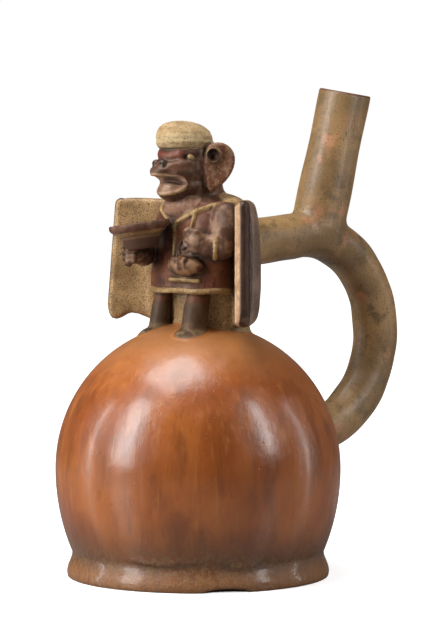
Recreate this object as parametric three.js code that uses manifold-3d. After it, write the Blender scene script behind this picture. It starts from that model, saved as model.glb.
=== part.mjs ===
// Stirrup spout vessel: a hollow fired clay bottle with a flared foot, a figure in a mantle standing on
// its crown, a round tube that arches from the figure's back to the chamber, and one tilted spout.
// Millimetres, +Z up. The origin is the middle of the underside, and the figure faces -Y.
import * as THREE from "three";
import { mergeVertices } from "three/addons/utils/BufferGeometryUtils.js";
import Module from "manifold-3d";

const wasm = await Module();
wasm.setup();

// Chamber and foot
const chamberWidth = 143;
const chamberHeight = 127;
const widestLevel = 54;
const waistWidth = 126.2;
const waistLevel = 12.5;
const footWidth = 131.6;
const footLipLevel = 2.4;
const footEdgeRound = 1.1;
const chamberWall = 5;
const floorWall = 6;

// Chip out of the foot's edge
const chipWidth = 24;
const chipHeight = 2.1;
const chipDepth = 5;
const chipBearing = 62.6;

// Stirrup tube
const tubeWidth = 23;
const tubeBore = 15;
const archRadius = 51.4;
const archSetIn = 1.2;
const armSlope = 5.5;

// Spout
const spoutWidth = 26.4;
const spoutRootWidth = 27.6;
const spoutBore = 18.5;
const spoutLength = 77.2;
const spoutTilt = 15.5;
const spoutBearing = 10;
const mouthTiltBack = 6.8;
const mouthTiltSide = 7.6;

// Figure: its forms are in units of its own, figureUnits to its height above the footing
const figureHeight = 107.2;
const footingSink = 7;
const torsoWall = 5;
const bowlWall = 2.6;
const figureUnits = 107.2;
const unit = figureHeight / figureUnits;
const footing = chamberHeight - footingSink;

// Fineness of the facets
const chamberSides = 44;
const tubeSides = 16;
const archSteps = 20;
const blobSides = 10;
const limbSides = 8;

// Tidying after the joins
const shortEdge = 0.45;
const slimFace = 0.02;
const tidyPasses = 14;

// Makes a closed manifold solid of a three.js geometry.
function solid(geometry) {
  const bare = geometry.index ? geometry.toNonIndexed() : geometry.clone();
  bare.deleteAttribute("normal");
  bare.deleteAttribute("uv");
  const merged = mergeVertices(bare, 1e-4);
  const made = new wasm.Manifold(
    new wasm.Mesh({
      numProp: 3,
      vertProperties: new Float32Array(merged.attributes.position.array),
      triVerts: new Uint32Array(merged.index.array),
    }),
  );
  return made;
}

// Joins a list of solids into one.
function join(solids) {
  return solids.reduce((whole, next) => whole.add(next));
}

// Makes a three.js geometry of a manifold solid.
function geometryOf(made) {
  const mesh = made.getMesh();
  const positions = new Float32Array(mesh.numVert * 3);
  for (let i = 0; i < mesh.numVert; i++) {
    const start = i * mesh.numProp;
    positions.set(mesh.vertProperties.subarray(start, start + 3), i * 3);
  }
  const geometry = new THREE.BufferGeometry();
  geometry.setAttribute("position", new THREE.BufferAttribute(positions, 3));
  geometry.setIndex(new THREE.BufferAttribute(new Uint32Array(mesh.triVerts), 1));
  geometry.computeVertexNormals();
  return geometry;
}

// The unit normal of a face and its height over its longest side.
function faceShape(places, face) {
  const [a, b, c] = face.map((i) => places[i]);
  const normal = b.clone().sub(a).cross(c.clone().sub(a));
  const longest = Math.max(a.distanceTo(b), b.distanceTo(c), c.distanceTo(a));
  const height = longest > 0 ? normal.length() / longest : 0;
  return { normal: normal.normalize(), height };
}

// Whether new faces point the way the old ones did and are no thinner than the thinnest of them.
function keepsShape(places, oldFaces, movedPlaces, newFaces) {
  const old = oldFaces.map((face) => faceShape(places, face));
  const made = newFaces.map((face) => faceShape(movedPlaces, face));
  const thinnest = Math.min(...old.map(({ height }) => height), slimFace);
  return made.every(({ normal, height }, i) => {
    const before = old[Math.min(i, old.length - 1)];
    return height >= thinnest && (before.height < slimFace || normal.dot(before.normal) > 0.6);
  });
}

// Takes out the crumbs that joins leave: short edges are drawn together and slim faces turned over.
function tidied(geometry) {
  const flat = geometry.getAttribute("position");
  const placeOf = (_, i) => new THREE.Vector3().fromBufferAttribute(flat, i);
  const places = Array.from({ length: flat.count }, placeOf);
  let faces = Array.from({ length: geometry.index.count / 3 }, (_, i) =>
    [0, 1, 2].map((corner) => geometry.index.getX(i * 3 + corner)),
  );
  for (let pass = 0; pass < tidyPasses; pass++) {
    const around = places.map(() => []);
    faces.forEach((face) => face.forEach((i) => around[i].push(face)));
    const touched = new Set();
    const gone = new Set();
    const made = [];
    const edges = faces.flatMap(([a, b, c]) => [[a, b], [b, c], [c, a]]).filter(([a, b]) => a < b);
    const lengthOf = ([a, b]) => places[a].distanceTo(places[b]);
    const short = edges.filter((edge) => lengthOf(edge) < shortEdge);
    short.sort((one, other) => lengthOf(one) - lengthOf(other));
    for (const [a, b] of short) {
      const ring = new Set([...around[a], ...around[b]].flat());
      if ([...ring].some((i) => touched.has(i))) continue;
      const nextTo = (i) => new Set(around[i].flat());
      const shared = [...nextTo(a)].filter((i) => i !== a && i !== b && nextTo(b).has(i));
      if (shared.length !== 2) continue;
      const ringFaces = [...new Set([...around[a], ...around[b]])];
      const kept = ringFaces.filter((face) => !(face.includes(a) && face.includes(b)));
      const moved = kept.map((face) => face.map((i) => (i === b ? a : i)));
      const middle = places[a].clone().add(places[b]).multiplyScalar(0.5);
      const movedPlaces = Object.assign([...places], { [a]: middle });
      if (!kept.every((face, i) => keepsShape(places, [face], movedPlaces, [moved[i]]))) continue;
      ringFaces.forEach((face) => gone.add(face));
      made.push(...moved);
      ring.forEach((i) => touched.add(i));
      places[a] = middle;
    }
    for (const face of faces) {
      if (gone.has(face) || faceShape(places, face).height > slimFace) continue;
      const turns = [0, 1, 2].map((i) => [face[i], face[(i + 1) % 3], face[(i + 2) % 3]]);
      const longest = turns.reduce((x, y) => (lengthOf(x) > lengthOf(y) ? x : y));
      const [a, b, c] = longest;
      const twin = around[a].find((other) => other !== face && other.includes(b));
      const d = twin.find((i) => i !== a && i !== b);
      const busy = [a, b, c, d].some((i) => touched.has(i)) || gone.has(twin);
      if (busy || around[c].some((other) => other.includes(d))) continue;
      const turned = [[c, a, d], [c, d, b]];
      const twinNormal = faceShape(places, twin).normal;
      const shapes = turned.map((next) => faceShape(places, next));
      const fits = ({ normal, height }) => normal.dot(twinNormal) > 0.6 && height > slimFace / 4;
      if (!shapes.every(fits)) continue;
      gone.add(face).add(twin);
      made.push(...turned);
      [a, b, c, d].forEach((i) => touched.add(i));
    }
    faces = [...faces.filter((face) => !gone.has(face)), ...made];
    if (!gone.size) break;
  }
  const tidy = new THREE.BufferGeometry();
  const positions = places.flatMap((place) => place.toArray());
  tidy.setAttribute("position", new THREE.Float32BufferAttribute(positions, 3));
  tidy.setIndex(faces.flat());
  return tidy;
}

// The same geometry on the other side of the plane x = 0.
function mirrored(geometry) {
  const other = geometry.index ? geometry.toNonIndexed() : geometry.clone();
  other.scale(-1, 1, 1);
  const places = other.getAttribute("position");
  for (let i = 0; i < places.count; i += 3) {
    const second = new THREE.Vector3().fromBufferAttribute(places, i + 1);
    const third = new THREE.Vector3().fromBufferAttribute(places, i + 2);
    places.setXYZ(i + 1, ...third.toArray());
    places.setXYZ(i + 2, ...second.toArray());
  }
  return other;
}

const radians = THREE.MathUtils.degToRad;

// A lathe about +Z: the profile is a list of [radius, height], from the axis back to the axis.
function turned(profile, sides) {
  const points = profile.map(([radius, height]) => new THREE.Vector2(radius, height));
  return new THREE.LatheGeometry(points, sides).rotateX(Math.PI / 2);
}

// An ellipsoid with its half sizes, turned about its centre by [x, y, z] degrees.
function blob(centre, halves, turns = [0, 0, 0], sides = blobSides) {
  const ball = new THREE.SphereGeometry(1, sides, Math.round(sides / 2));
  ball.rotateX(Math.PI / 2).scale(...halves);
  const euler = new THREE.Euler(...turns.map(radians));
  ball.applyQuaternion(new THREE.Quaternion().setFromEuler(euler)).translate(...centre);
  return solid(ball);
}

// A round-ended rod through a list of [x, y, z, radius].
function rod(points, sides = limbSides) {
  const places = points.map(([x, y, z]) => new THREE.Vector3(x, y, z));
  const tangents = places.map((place, i) => {
    const before = places[Math.max(i - 1, 0)];
    return places[Math.min(i + 1, places.length - 1)].clone().sub(before).normalize();
  });
  const across = new THREE.Vector3(0, 0, 1).cross(tangents[0]);
  if (across.length() < 0.3) across.set(1, 0, 0);
  const rings = [];
  const addRing = (place, tangent, radius) => {
    across.addScaledVector(tangent, -across.dot(tangent)).normalize();
    rings.push([place, across.clone(), tangent.clone().cross(across), radius]);
  };
  const roundEnd = (index, share, side) => {
    const radius = points[index][3];
    const shift = side * radius * Math.sin(share * (Math.PI / 2));
    const place = places[index].clone().addScaledVector(tangents[index], shift);
    addRing(place, tangents[index], radius * Math.cos(share * (Math.PI / 2)));
  };
  const last = points.length - 1;
  const endShares = [0.75];
  endShares.forEach((share) => roundEnd(0, share, -1));
  places.forEach((place, i) => addRing(place, tangents[i], points[i][3]));
  [...endShares].reverse().forEach((share) => roundEnd(last, share, 1));
  const corners = rings.map(([place, first, second, radius]) =>
    Array.from({ length: sides }, (_, i) => {
      const angle = (i / sides) * 2 * Math.PI;
      const corner = place.clone().addScaledVector(first, radius * Math.cos(angle));
      return corner.addScaledVector(second, radius * Math.sin(angle)).toArray();
    }),
  );
  return loft(corners);
}

// The faces that close a convex ring of a given count.
function fanCap(count) {
  return Array.from({ length: count - 2 }, (_, i) => [0, i + 1, i + 2]);
}

// A skin over closed rings of equal length, listed upwards, with each ring running anticlockwise.
function loft(rings, capOf = fanCap) {
  const count = rings[0].length;
  const positions = rings.flat(2);
  const faces = [];
  for (let level = 0; level < rings.length - 1; level++) {
    for (let i = 0; i < count; i++) {
      const a = level * count + i;
      const b = level * count + ((i + 1) % count);
      faces.push(a, b, b + count, a, b + count, a + count);
    }
  }
  const top = (rings.length - 1) * count;
  capOf(count).forEach(([a, b, c]) => faces.push(a, c, b, top + a, top + b, top + c));
  const geometry = new THREE.BufferGeometry();
  geometry.setAttribute("position", new THREE.Float32BufferAttribute(positions, 3));
  geometry.setIndex(faces);
  return solid(geometry);
}

// An oval ring at a height: a power over 2 squares its corners.
function oval(height, centreY, halfWidth, halfDepth, power = 2, count = 20) {
  return Array.from({ length: count }, (_, i) => {
    const angle = (i / count) * 2 * Math.PI;
    const cosine = Math.cos(angle);
    const sine = Math.sin(angle);
    const x = halfWidth * Math.sign(cosine) * Math.abs(cosine) ** (2 / power);
    const y = halfDepth * Math.sign(sine) * Math.abs(sine) ** (2 / power);
    return [x, centreY + y, height];
  });
}

// Chamber: the upper wall is a half ellipse, the lower one a flatter ellipse down to the waist.
const bellyRadius = chamberWidth / 2;
const waistShare = waistWidth / chamberWidth;
const lowerReach = (widestLevel - waistLevel) / Math.sqrt(1 - waistShare ** 2);

function chamberRadius(height, inset = 0) {
  const reach = height > widestLevel ? chamberHeight - widestLevel : lowerReach;
  const share = Math.min(1, Math.abs(height - widestLevel) / (reach - inset));
  return (bellyRadius - inset) * Math.sqrt(1 - share ** 2);
}

function chamberBody() {
  const footRadius = footWidth / 2;
  const profile = [[0, 0]];
  profile.push([footRadius - footEdgeRound, 0], [footRadius - footEdgeRound * 0.3, footEdgeRound * 0.5]);
  profile.push([footRadius, footLipLevel]);
  const flareSteps = 3;
  for (let i = 1; i <= flareSteps; i++) {
    const share = i / flareSteps;
    const swing = (1 + Math.cos(Math.PI * share)) / 2;
    const radius = waistWidth / 2 + (footRadius - waistWidth / 2) * swing;
    profile.push([radius, footLipLevel + (waistLevel - footLipLevel) * share]);
  }
  const lowerSteps = 4;
  for (let i = 1; i <= lowerSteps; i++) {
    const height = waistLevel + ((widestLevel - waistLevel) * i) / lowerSteps;
    profile.push([chamberRadius(height), height]);
  }
  const upperSteps = 9;
  for (let i = 1; i < upperSteps; i++) {
    const height = widestLevel + (chamberHeight - widestLevel) * Math.sin((i / upperSteps) * (Math.PI / 2));
    profile.push([chamberRadius(height), height]);
  }
  profile.push([0, chamberHeight]);
  return solid(turned(profile, chamberSides));
}

function chamberCavity() {
  const profile = [[0, floorWall]];
  const steps = 7;
  const start = waistLevel;
  profile.push([waistWidth / 2 - chamberWall - 3, floorWall]);
  for (let i = 0; i <= steps; i++) {
    const rise = Math.sin((i / steps) * (Math.PI / 2));
    const height = start + (chamberHeight - chamberWall - start) * rise;
    profile.push([i === steps ? 0 : chamberRadius(height, chamberWall), height]);
  }
  return solid(turned(profile, 24));
}

// The chip is a flat hollow that bites into the foot's lower edge.
function footChip() {
  const bearing = radians(chipBearing);
  const radius = footWidth / 2;
  const centre = [radius * Math.sin(bearing), -radius * Math.cos(bearing), 0];
  return blob(centre, [chipWidth / 2, chipDepth, chipHeight], [0, 0, chipBearing]);
}

// Stirrup: a straight arm out of the figure's back, a round arch, and a level end into the chamber's side.
const armStartY = 4 * unit;
const armStartLevel = footing + 43.2 * unit;
const archCentreY = bellyRadius - archSetIn;
const archJoinY = archCentreY - archRadius * Math.sin(radians(armSlope));
const archJoinZ = armStartLevel + (archJoinY - armStartY) * Math.tan(radians(armSlope));
const archCentreZ = archJoinZ - archRadius * Math.cos(radians(armSlope));

function archPoint(bearing) {
  const angle = radians(bearing);
  return [archCentreY + archRadius * Math.sin(angle), archCentreZ + archRadius * Math.cos(angle)];
}

function stirrupPath(endY, steps) {
  const points = [];
  const armSteps = 3;
  for (let i = 0; i < armSteps; i++) {
    const y = armStartY + ((archJoinY - armStartY) * i) / armSteps;
    points.push([y, archJoinZ - (archJoinY - y) * Math.tan(radians(armSlope))]);
  }
  const lastBearing = 180;
  for (let i = 0; i <= steps; i++) {
    points.push(archPoint(-armSlope + ((lastBearing + armSlope) * i) / steps));
  }
  points.push([Math.min(endY, archCentreY - 1), archCentreZ - archRadius]);
  return points;
}

// A tube in the plane x = 0: each ring stands square to the path.
function planeTube(points, radius, sides) {
  const positions = [];
  const faces = [];
  points.forEach(([y, z], index) => {
    const before = points[Math.max(index - 1, 0)];
    const after = points[Math.min(index + 1, points.length - 1)];
    const run = Math.hypot(after[0] - before[0], after[1] - before[1]);
    const normal = [-(after[1] - before[1]) / run, (after[0] - before[0]) / run];
    for (let i = 0; i < sides; i++) {
      const angle = (i / sides) * 2 * Math.PI;
      const out = radius * Math.cos(angle);
      positions.push(radius * Math.sin(angle), y + normal[0] * out, z + normal[1] * out);
    }
  });
  for (let level = 0; level < points.length - 1; level++) {
    for (let i = 0; i < sides; i++) {
      const a = level * sides + i;
      const b = level * sides + ((i + 1) % sides);
      faces.push(a, b, b + sides, a, b + sides, a + sides);
    }
  }
  const last = (points.length - 1) * sides;
  for (let i = 1; i < sides - 1; i++) {
    faces.push(0, i + 1, i, last, last + i, last + i + 1);
  }
  const geometry = new THREE.BufferGeometry();
  geometry.setAttribute("position", new THREE.Float32BufferAttribute(positions, 3));
  geometry.setIndex(faces);
  return solid(geometry);
}

function stirrupTube() {
  const endY = chamberRadius(archCentreZ - archRadius) - chamberWall;
  return planeTube(stirrupPath(endY, archSteps), tubeWidth / 2, tubeSides);
}

function stirrupBore() {
  const endY = chamberRadius(archCentreZ - archRadius) - chamberWall * 2;
  return planeTube(stirrupPath(endY, Math.round(archSteps * 0.7)), tubeBore / 2, 12);
}

// Spout: made upright on its own axis, then tilted back and set on the arch.
function onSpout(geometry) {
  const [y, z] = archPoint(spoutBearing);
  return solid(geometry.rotateX(-radians(spoutTilt)).translate(0, y, z));
}

// The mouth is trimmed on a plane of its own, flatter than square to the spout.
const mouthSpare = spoutWidth * 0.25;

function mouthSlab() {
  const size = spoutRootWidth * 2;
  const slab = new THREE.BoxGeometry(size, size, size).translate(0, 0, size / 2);
  slab.rotateX(-radians(mouthTiltBack)).rotateY(radians(mouthTiltSide));
  const [y, z] = archPoint(spoutBearing);
  const lean = radians(spoutTilt);
  return solid(slab.translate(0, y + spoutLength * Math.sin(lean), z + spoutLength * Math.cos(lean)));
}

function spoutTube() {
  const radius = spoutWidth / 2;
  const rootRadius = spoutRootWidth / 2;
  const rootLevel = tubeWidth / 2;
  const profile = [
    [0, -tubeWidth * 0.2],
    [rootRadius - 3, -tubeWidth * 0.2],
    [rootRadius + 2.2, rootLevel - 4],
    [rootRadius + 0.8, rootLevel],
    [rootRadius, rootLevel + 6],
    [(rootRadius + radius) / 2, (rootLevel + spoutLength) / 2],
    [radius, spoutLength + mouthSpare],
    [0, spoutLength + mouthSpare],
  ];
  return onSpout(turned(profile, 24)).subtract(mouthSlab());
}

function spoutHollow() {
  const radius = spoutBore / 2;
  const profile = [
    [0, 0],
    [tubeBore / 2 - 1, 0],
    [radius, tubeBore],
    [radius, spoutLength + mouthSpare * 2],
    [0, spoutLength + mouthSpare * 2],
  ];
  return onSpout(turned(profile, 14));
}

// Mantle: two wings that spread forwards from the back, thin and round at their free edges.
const mantleFoot = 6;
const mantleTop = 68.3;
const wingRoot = [16, 7];
const wingEdgeTop = [48.2, -15.2];
const wingEdgeFoot = [51.8, -18.4];
const wingEdgeThickness = 6;
const faceSteps = 3;
const edgeSteps = 4;
const outerSteps = 7;

// How far the outer face swells at a level, as a share of its widest: from the foot up to the top.
function mantleSwell(share) {
  const middle = 0.42;
  const away = share < middle ? (middle - share) / middle : (share - middle) / (1 - middle);
  return share < middle ? 1 - 0.11 * away ** 1.6 : 1 - 0.2 * away ** 2.4;
}

// One level of the mantle: inset rounds its edges over, and fall draws the outer face in.
function mantleRing([level, inset, fall]) {
  const share = (level - mantleFoot) / (mantleTop - mantleFoot);
  const edge = wingEdgeFoot.map((value, i) => value + (wingEdgeTop[i] - value) * share);
  const run = Math.hypot(edge[0] - wingRoot[0], edge[1] - wingRoot[1]);
  const along = [(edge[0] - wingRoot[0]) / run, (edge[1] - wingRoot[1]) / run];
  const out = [-along[1], along[0]];
  const place = (distance, depth) => [
    wingRoot[0] + along[0] * distance + out[0] * depth,
    wingRoot[1] + along[1] * distance + out[1] * depth,
  ];
  const half = [
    [0, -2],
    [12, -2],
  ];
  for (let i = 0; i < faceSteps; i++) {
    const hollow = 1.6 * Math.sin((Math.PI * i) / faceSteps);
    half.push(place(((run - 3) * i) / faceSteps, inset + hollow));
  }
  const radius = wingEdgeThickness / 2;
  for (let i = 0; i <= edgeSteps; i++) {
    const angle = (Math.PI * i) / edgeSteps;
    const reach = run - radius + (radius - inset) * Math.sin(angle);
    half.push(place(reach, radius - (radius - inset) * Math.cos(angle)));
  }
  const swell = mantleSwell(share);
  const last = half[half.length - 1];
  const backY = 17 * (1 + swell) * 0.5 - inset - fall;
  const start = Math.atan2(0.09, 1);
  for (let i = 1; i <= outerSteps; i++) {
    const angle = start + ((Math.PI / 2 - start) * i) / outerSteps;
    const x = (last[0] - fall * Math.sin(angle)) * Math.cos(angle) ** 0.97;
    const y = last[1] + (backY - last[1]) * Math.sin(angle) ** 0.94;
    half.push([i === outerSteps ? 0 : x, y]);
  }
  const whole = [...half];
  for (let i = half.length - 2; i > 0; i--) whole.push([-half[i][0], half[i][1]]);
  return whole.map(([x, y]) => [x, y, level]);
}

// Closes a mantle ring: faces run from side to side of each wing, from its free edge to the middle.
function mantleCap(count) {
  const faces = [];
  const back = count / 2;
  let front = 2 + faceSteps + edgeSteps / 2;
  let outer = front + 1;
  const inward = front / (back - outer);
  while (front > 0 || outer < back) {
    if (front > 0 && (outer === back || front / (back - outer) >= inward)) {
      faces.push([front - 1, front, outer]);
      front -= 1;
    } else {
      faces.push([front, outer, outer + 1]);
      outer += 1;
    }
  }
  const mirrored = faces.map(([a, b, c]) => [a, c, b].map((i) => (count - i) % count));
  return [...faces, ...mirrored];
}

// The cut under a wing leaves a round lobe at the free edge and a shallow notch beside it.
function wingCut(side) {
  const shape = new THREE.Shape();
  shape.moveTo(12, -12);
  shape.lineTo(15, 3.5);
  shape.quadraticCurveTo(22, 8.2, 30.5, 10.6);
  shape.quadraticCurveTo(33.5, 10.4, 35.2, 8.2);
  shape.quadraticCurveTo(38.6, 4.8, 41.6, 8.8);
  shape.quadraticCurveTo(43.4, 12.2, 43.2, 17);
  shape.lineTo(60, 17);
  shape.lineTo(60, -12);
  const depth = 44;
  const cutter = new THREE.ExtrudeGeometry(shape, { depth, bevelEnabled: false, curveSegments: 4 });
  const along = new THREE.Vector3(wingEdgeFoot[0] - wingRoot[0], wingEdgeFoot[1] - wingRoot[1], 0);
  along.normalize();
  const up = new THREE.Vector3(0, 0, 1);
  const normal = new THREE.Vector3().crossVectors(along, up);
  const frame = new THREE.Matrix4().makeBasis(along, up, normal);
  cutter.translate(0, 0, -depth / 2).applyMatrix4(frame).translate(wingRoot[0], wingRoot[1], 0);
  return solid(side > 0 ? cutter : mirrored(cutter));
}

function mantle() {
  const levels = [
    [mantleFoot, 1.4, 4.6],
    [mantleFoot + 2, 0, 3.4],
    [16, 0, 1.7],
    [26, 0, 0.5],
    [42, 0, 0.3],
    [54, 0, 0.9],
    [61, 0, 2],
    [65, 0.2, 3.3],
    [67.4, 1.1, 4.6],
    [mantleTop, 2, 5.6],
  ];
  const body = loft(levels.map(mantleRing), mantleCap);
  return body.subtract(wingCut(1)).subtract(wingCut(-1));
}

// The near wing lost the tip of its lobe.
function wingBreak() {
  return blob([52.5, -17.5, 6.2], [5.2, 5.5, 4.4], [0, 0, 20], 8);
}

// Body under the mantle: a thick core that runs down into the chamber, and the tunic over it.
function core() {
  return loft([
    oval(-6, 8, 27, 18),
    oval(1, 6.8, 24.2, 17, 2.4),
    oval(30, 6, 23, 16),
    oval(66, 5, 17, 13),
  ]);
}

const tunicFoot = 22.4;
const tunicLevels = [
  [tunicFoot, -2.4, 26.2, 17.4],
  [32, -2.1, 26, 17.3],
  [40, -1.6, 25.6, 16.3],
  [50, -1, 25.8, 15.4],
  [58, -0.6, 26, 14.8],
  [62, -0.2, 25, 14.2],
  [65.5, 0, 21, 13.2],
  [68.5, 0, 15, 12.6],
];

function tunic() {
  return loft(tunicLevels.map(([level, y, width, depth]) => oval(level, y, width, depth, 2.15)));
}

// The front of the tunic at a level and an x, for what lies on it.
function tunicFront(x, level) {
  const above = tunicLevels.findIndex(([height]) => height >= level);
  const [high, low] = [tunicLevels[Math.max(above, 1)], tunicLevels[Math.max(above, 1) - 1]];
  const share = (level - low[0]) / (high[0] - low[0]);
  const [, y, width, depth] = low.map((value, i) => value + (high[i] - value) * share);
  return y - depth * (1 - Math.abs(x / width) ** 2.15) ** (1 / 2.15);
}

// A raised cord that lies on the tunic through a list of [x, level].
function cordOnTunic(points, radius) {
  return rod(points.map(([x, level]) => [x, tunicFront(x, level) - radius * 0.2, level, radius]), 6);
}

function tunicTrim() {
  const hem = [];
  for (let x = -24; x <= 24; x += 6) hem.push([x, tunicFoot + 1.4]);
  const neckline = (side) => [
    [0, 55.6],
    [side * 6, 59],
    [side * 12, 62.2],
    [side * 20, 66],
  ];
  return join([
    cordOnTunic(hem, 1.5),
    cordOnTunic(neckline(1), 1.25),
    cordOnTunic(neckline(-1), 1.25),
    cordOnTunic([[0.4, 55], [0.6, 48], [1.6, 41]], 0.9),
    cordOnTunic([[11.5, 57.5], [10.5, 52]], 1.2),
    cordOnTunic([[9.5, 50], [4.6, 45.5], [4.8, 40]], 1),
    cordOnTunic([[2.6, 29.2], [10, 29.4], [18, 28.8]], 1.3),
  ]);
}

// The pouch on the belly hangs from the cord in the left hand.
function pouch() {
  const y = tunicFront(12, 35);
  return join([
    blob([12, y - 0.8, 36], [10.6, 5.2, 5], [0, 0, 12]),
    blob([7.2, y - 4.4, 38], [3, 2.4, 2.6], [0, 0, 0], 8),
    blob([13.6, y - 3.8, 38.3], [3, 2.4, 2.6], [0, 0, 0], 8),
  ]);
}

function legs() {
  const leg = (side, radius) =>
    join([
      rod([
        [side * 13.2, -12.8, 23, radius * 0.9],
        [side * 13.2, -13.8, 14, radius],
        [side * 13.4, -14.2, 5, radius * 1.05],
      ]),
      blob([side * 13.8, -15.6, 0.6], [radius + 1.6, 9.6, 4.4]),
    ]);
  return join([leg(1, 6.4), leg(-1, 5.6)]);
}

// A row of curled fingers: each is a short limb from a knuckle to a tip.
function fingers(knuckles, bend, radius) {
  return join(
    knuckles.map(([x, y, z]) => {
      const tip = [x + bend[0], y + bend[1], z + bend[2], radius * 0.9];
      return rod([[x, y, z, radius], tip], 6);
    }),
  );
}

function leftArm() {
  return join([
    rod([
      [24, -2, 61, 7],
      [26.6, -4.5, 53, 7.2],
      [27.4, -7, 45.4, 6.4],
      [22.6, -12.6, 45.8, 5.4],
      [18.6, -15.8, 47.6, 4.8],
    ]),
    blob([16.8, -17.6, 48.6], [5, 4.4, 5]),
    fingers([[15.6, -20.2, 51], [15, -20.4, 48.6], [14.8, -20.2, 46.2]], [-3, 2.4, -1.2], 1.5),
    rod([[19.6, -19.6, 51.8, 1.6], [15.8, -20.9, 53, 1.4]], 6),
  ]);
}

const bowlPlace = [-9.2, -30.4, 57.2];
const bowlLean = [5, -6.8, 0];

function rightArm() {
  return join([
    rod([
      [-24.5, -2, 61, 7.4],
      [-26, -5, 52, 7.4],
      [-25, -9, 43.4, 6.6],
      [-19.5, -20, 40.8, 5.2],
      [-14, -27.6, 41.2, 4.6],
    ]),
    blob([-12.6, -30, 42], [5.4, 4.8, 3.8]),
    fingers([[-12.2, -35.4, 41.4], [-15.2, -34, 41.6], [-17.8, -31.6, 42]], [-1.4, -1.2, 5], 1.6),
  ]);
}

// The bowl flares to a thick rim and leans away from the chest.
function bowl() {
  const rim = 15.2;
  const depth = 13;
  const floor = 3;
  const wall = bowlWall / unit;
  const shape = [
    [0, -depth],
    [7.4, -depth],
    [8.4, -depth + 2],
    [9.2, -8.6],
    [11, -5.2],
    [rim - 0.8, -1.9],
    [rim, -0.9],
    [rim - 0.5, 0],
    [rim - 1.4, 0],
    [rim - 0.8 - wall, -1.7],
    [11 - wall * 0.8, -4.8],
    [9.2 - wall * 0.9, -7.6],
    [4, -depth + floor + 1.4],
    [0, -depth + floor],
  ];
  const turn = new THREE.Euler(...bowlLean.map(radians));
  const geometry = turned(shape, 16);
  return solid(geometry.applyQuaternion(new THREE.Quaternion().setFromEuler(turn)).translate(...bowlPlace));
}

// Head: a round skull with a long open muzzle, knobbed nostrils, bead eyes and a low rounded cap.
function skull() {
  return join([
    loft([
      oval(60, 3, 24, 14),
      oval(67, 3, 21.5, 14.6),
      oval(69.3, 2.6, 16.6, 13.8),
      oval(70.6, 0.6, 13.8, 13.4),
      oval(74, -1, 13.2, 13.6),
      oval(84, -4.6, 14.2, 14.6),
      oval(93, -6, 13.6, 14),
      oval(98, -7, 12, 12.6),
    ]),
    blob([0, -9, 66], [12.4, 8.4, 7]),
    blob([0, -11.6, 74.8], [12.6, 12.8, 6.2], [-4, 0, 0]),
    blob([0, -17.4, 73], [8, 7.2, 4.4], [-10, 0, 0]),
    blob([0, -12.8, 82.6], [13.4, 12.6, 7.4], [6, 0, 0]),
    blob([0, -21.4, 83.6], [7.6, 8.2, 3.7], [8, 0, 0]),
    blob([0, -14, 90.2], [12.6, 8.6, 3.6]),
    ...[-1, 1].map((side) => rod([[side * 10.4, -16, 86.8, 3], [side * 3.4, -24, 85.8, 1.8]], 8)),
  ]);
}

function mouthCut() {
  const shape = new THREE.Shape();
  shape.moveTo(-16, 76.6);
  shape.quadraticCurveTo(-17.5, 79.6, -21, 80.2);
  shape.lineTo(-34, 81.4);
  shape.lineTo(-34, 69.6);
  shape.lineTo(-25.4, 71);
  shape.quadraticCurveTo(-19, 72.4, -16, 76.6);
  const depth = 40;
  const geometry = new THREE.ExtrudeGeometry(shape, { depth, bevelEnabled: false, curveSegments: 4 });
  const frame = new THREE.Matrix4().makeBasis(
    new THREE.Vector3(0, 1, 0),
    new THREE.Vector3(0, 0, 1),
    new THREE.Vector3(1, 0, 0),
  );
  return solid(geometry.translate(0, 0, -depth / 2).applyMatrix4(frame));
}

function face() {
  const pairs = [-1, 1].flatMap((side) => [
    blob([side * 2, -25.2, 86.4], [2.2, 2.4, 2.2], [0, 0, 0], 8),
    blob([side * 11.6, -14.2, 89.4], [1.6, 1.7, 1.6], [0, 0, 0], 8),
  ]);
  const tongue = blob([0, -15.6, 73.6], [7.6, 8, 2.6], [-8, 0, 0]);
  return join([skull().subtract(mouthCut()), tongue, ...pairs]);
}

function cap() {
  return join([
    loft([
      oval(92.4, -8.4, 13.2, 13.2),
      oval(93.4, -8.6, 14, 14),
      oval(96.6, -8.8, 14.3, 14.4),
      oval(99.6, -9, 14, 14.2),
      oval(103.2, -9.8, 12.9, 12.9),
      oval(106, -10.8, 10, 9.8),
      oval(figureUnits, -11.4, 6, 6),
    ]),
  ]);
}

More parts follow.
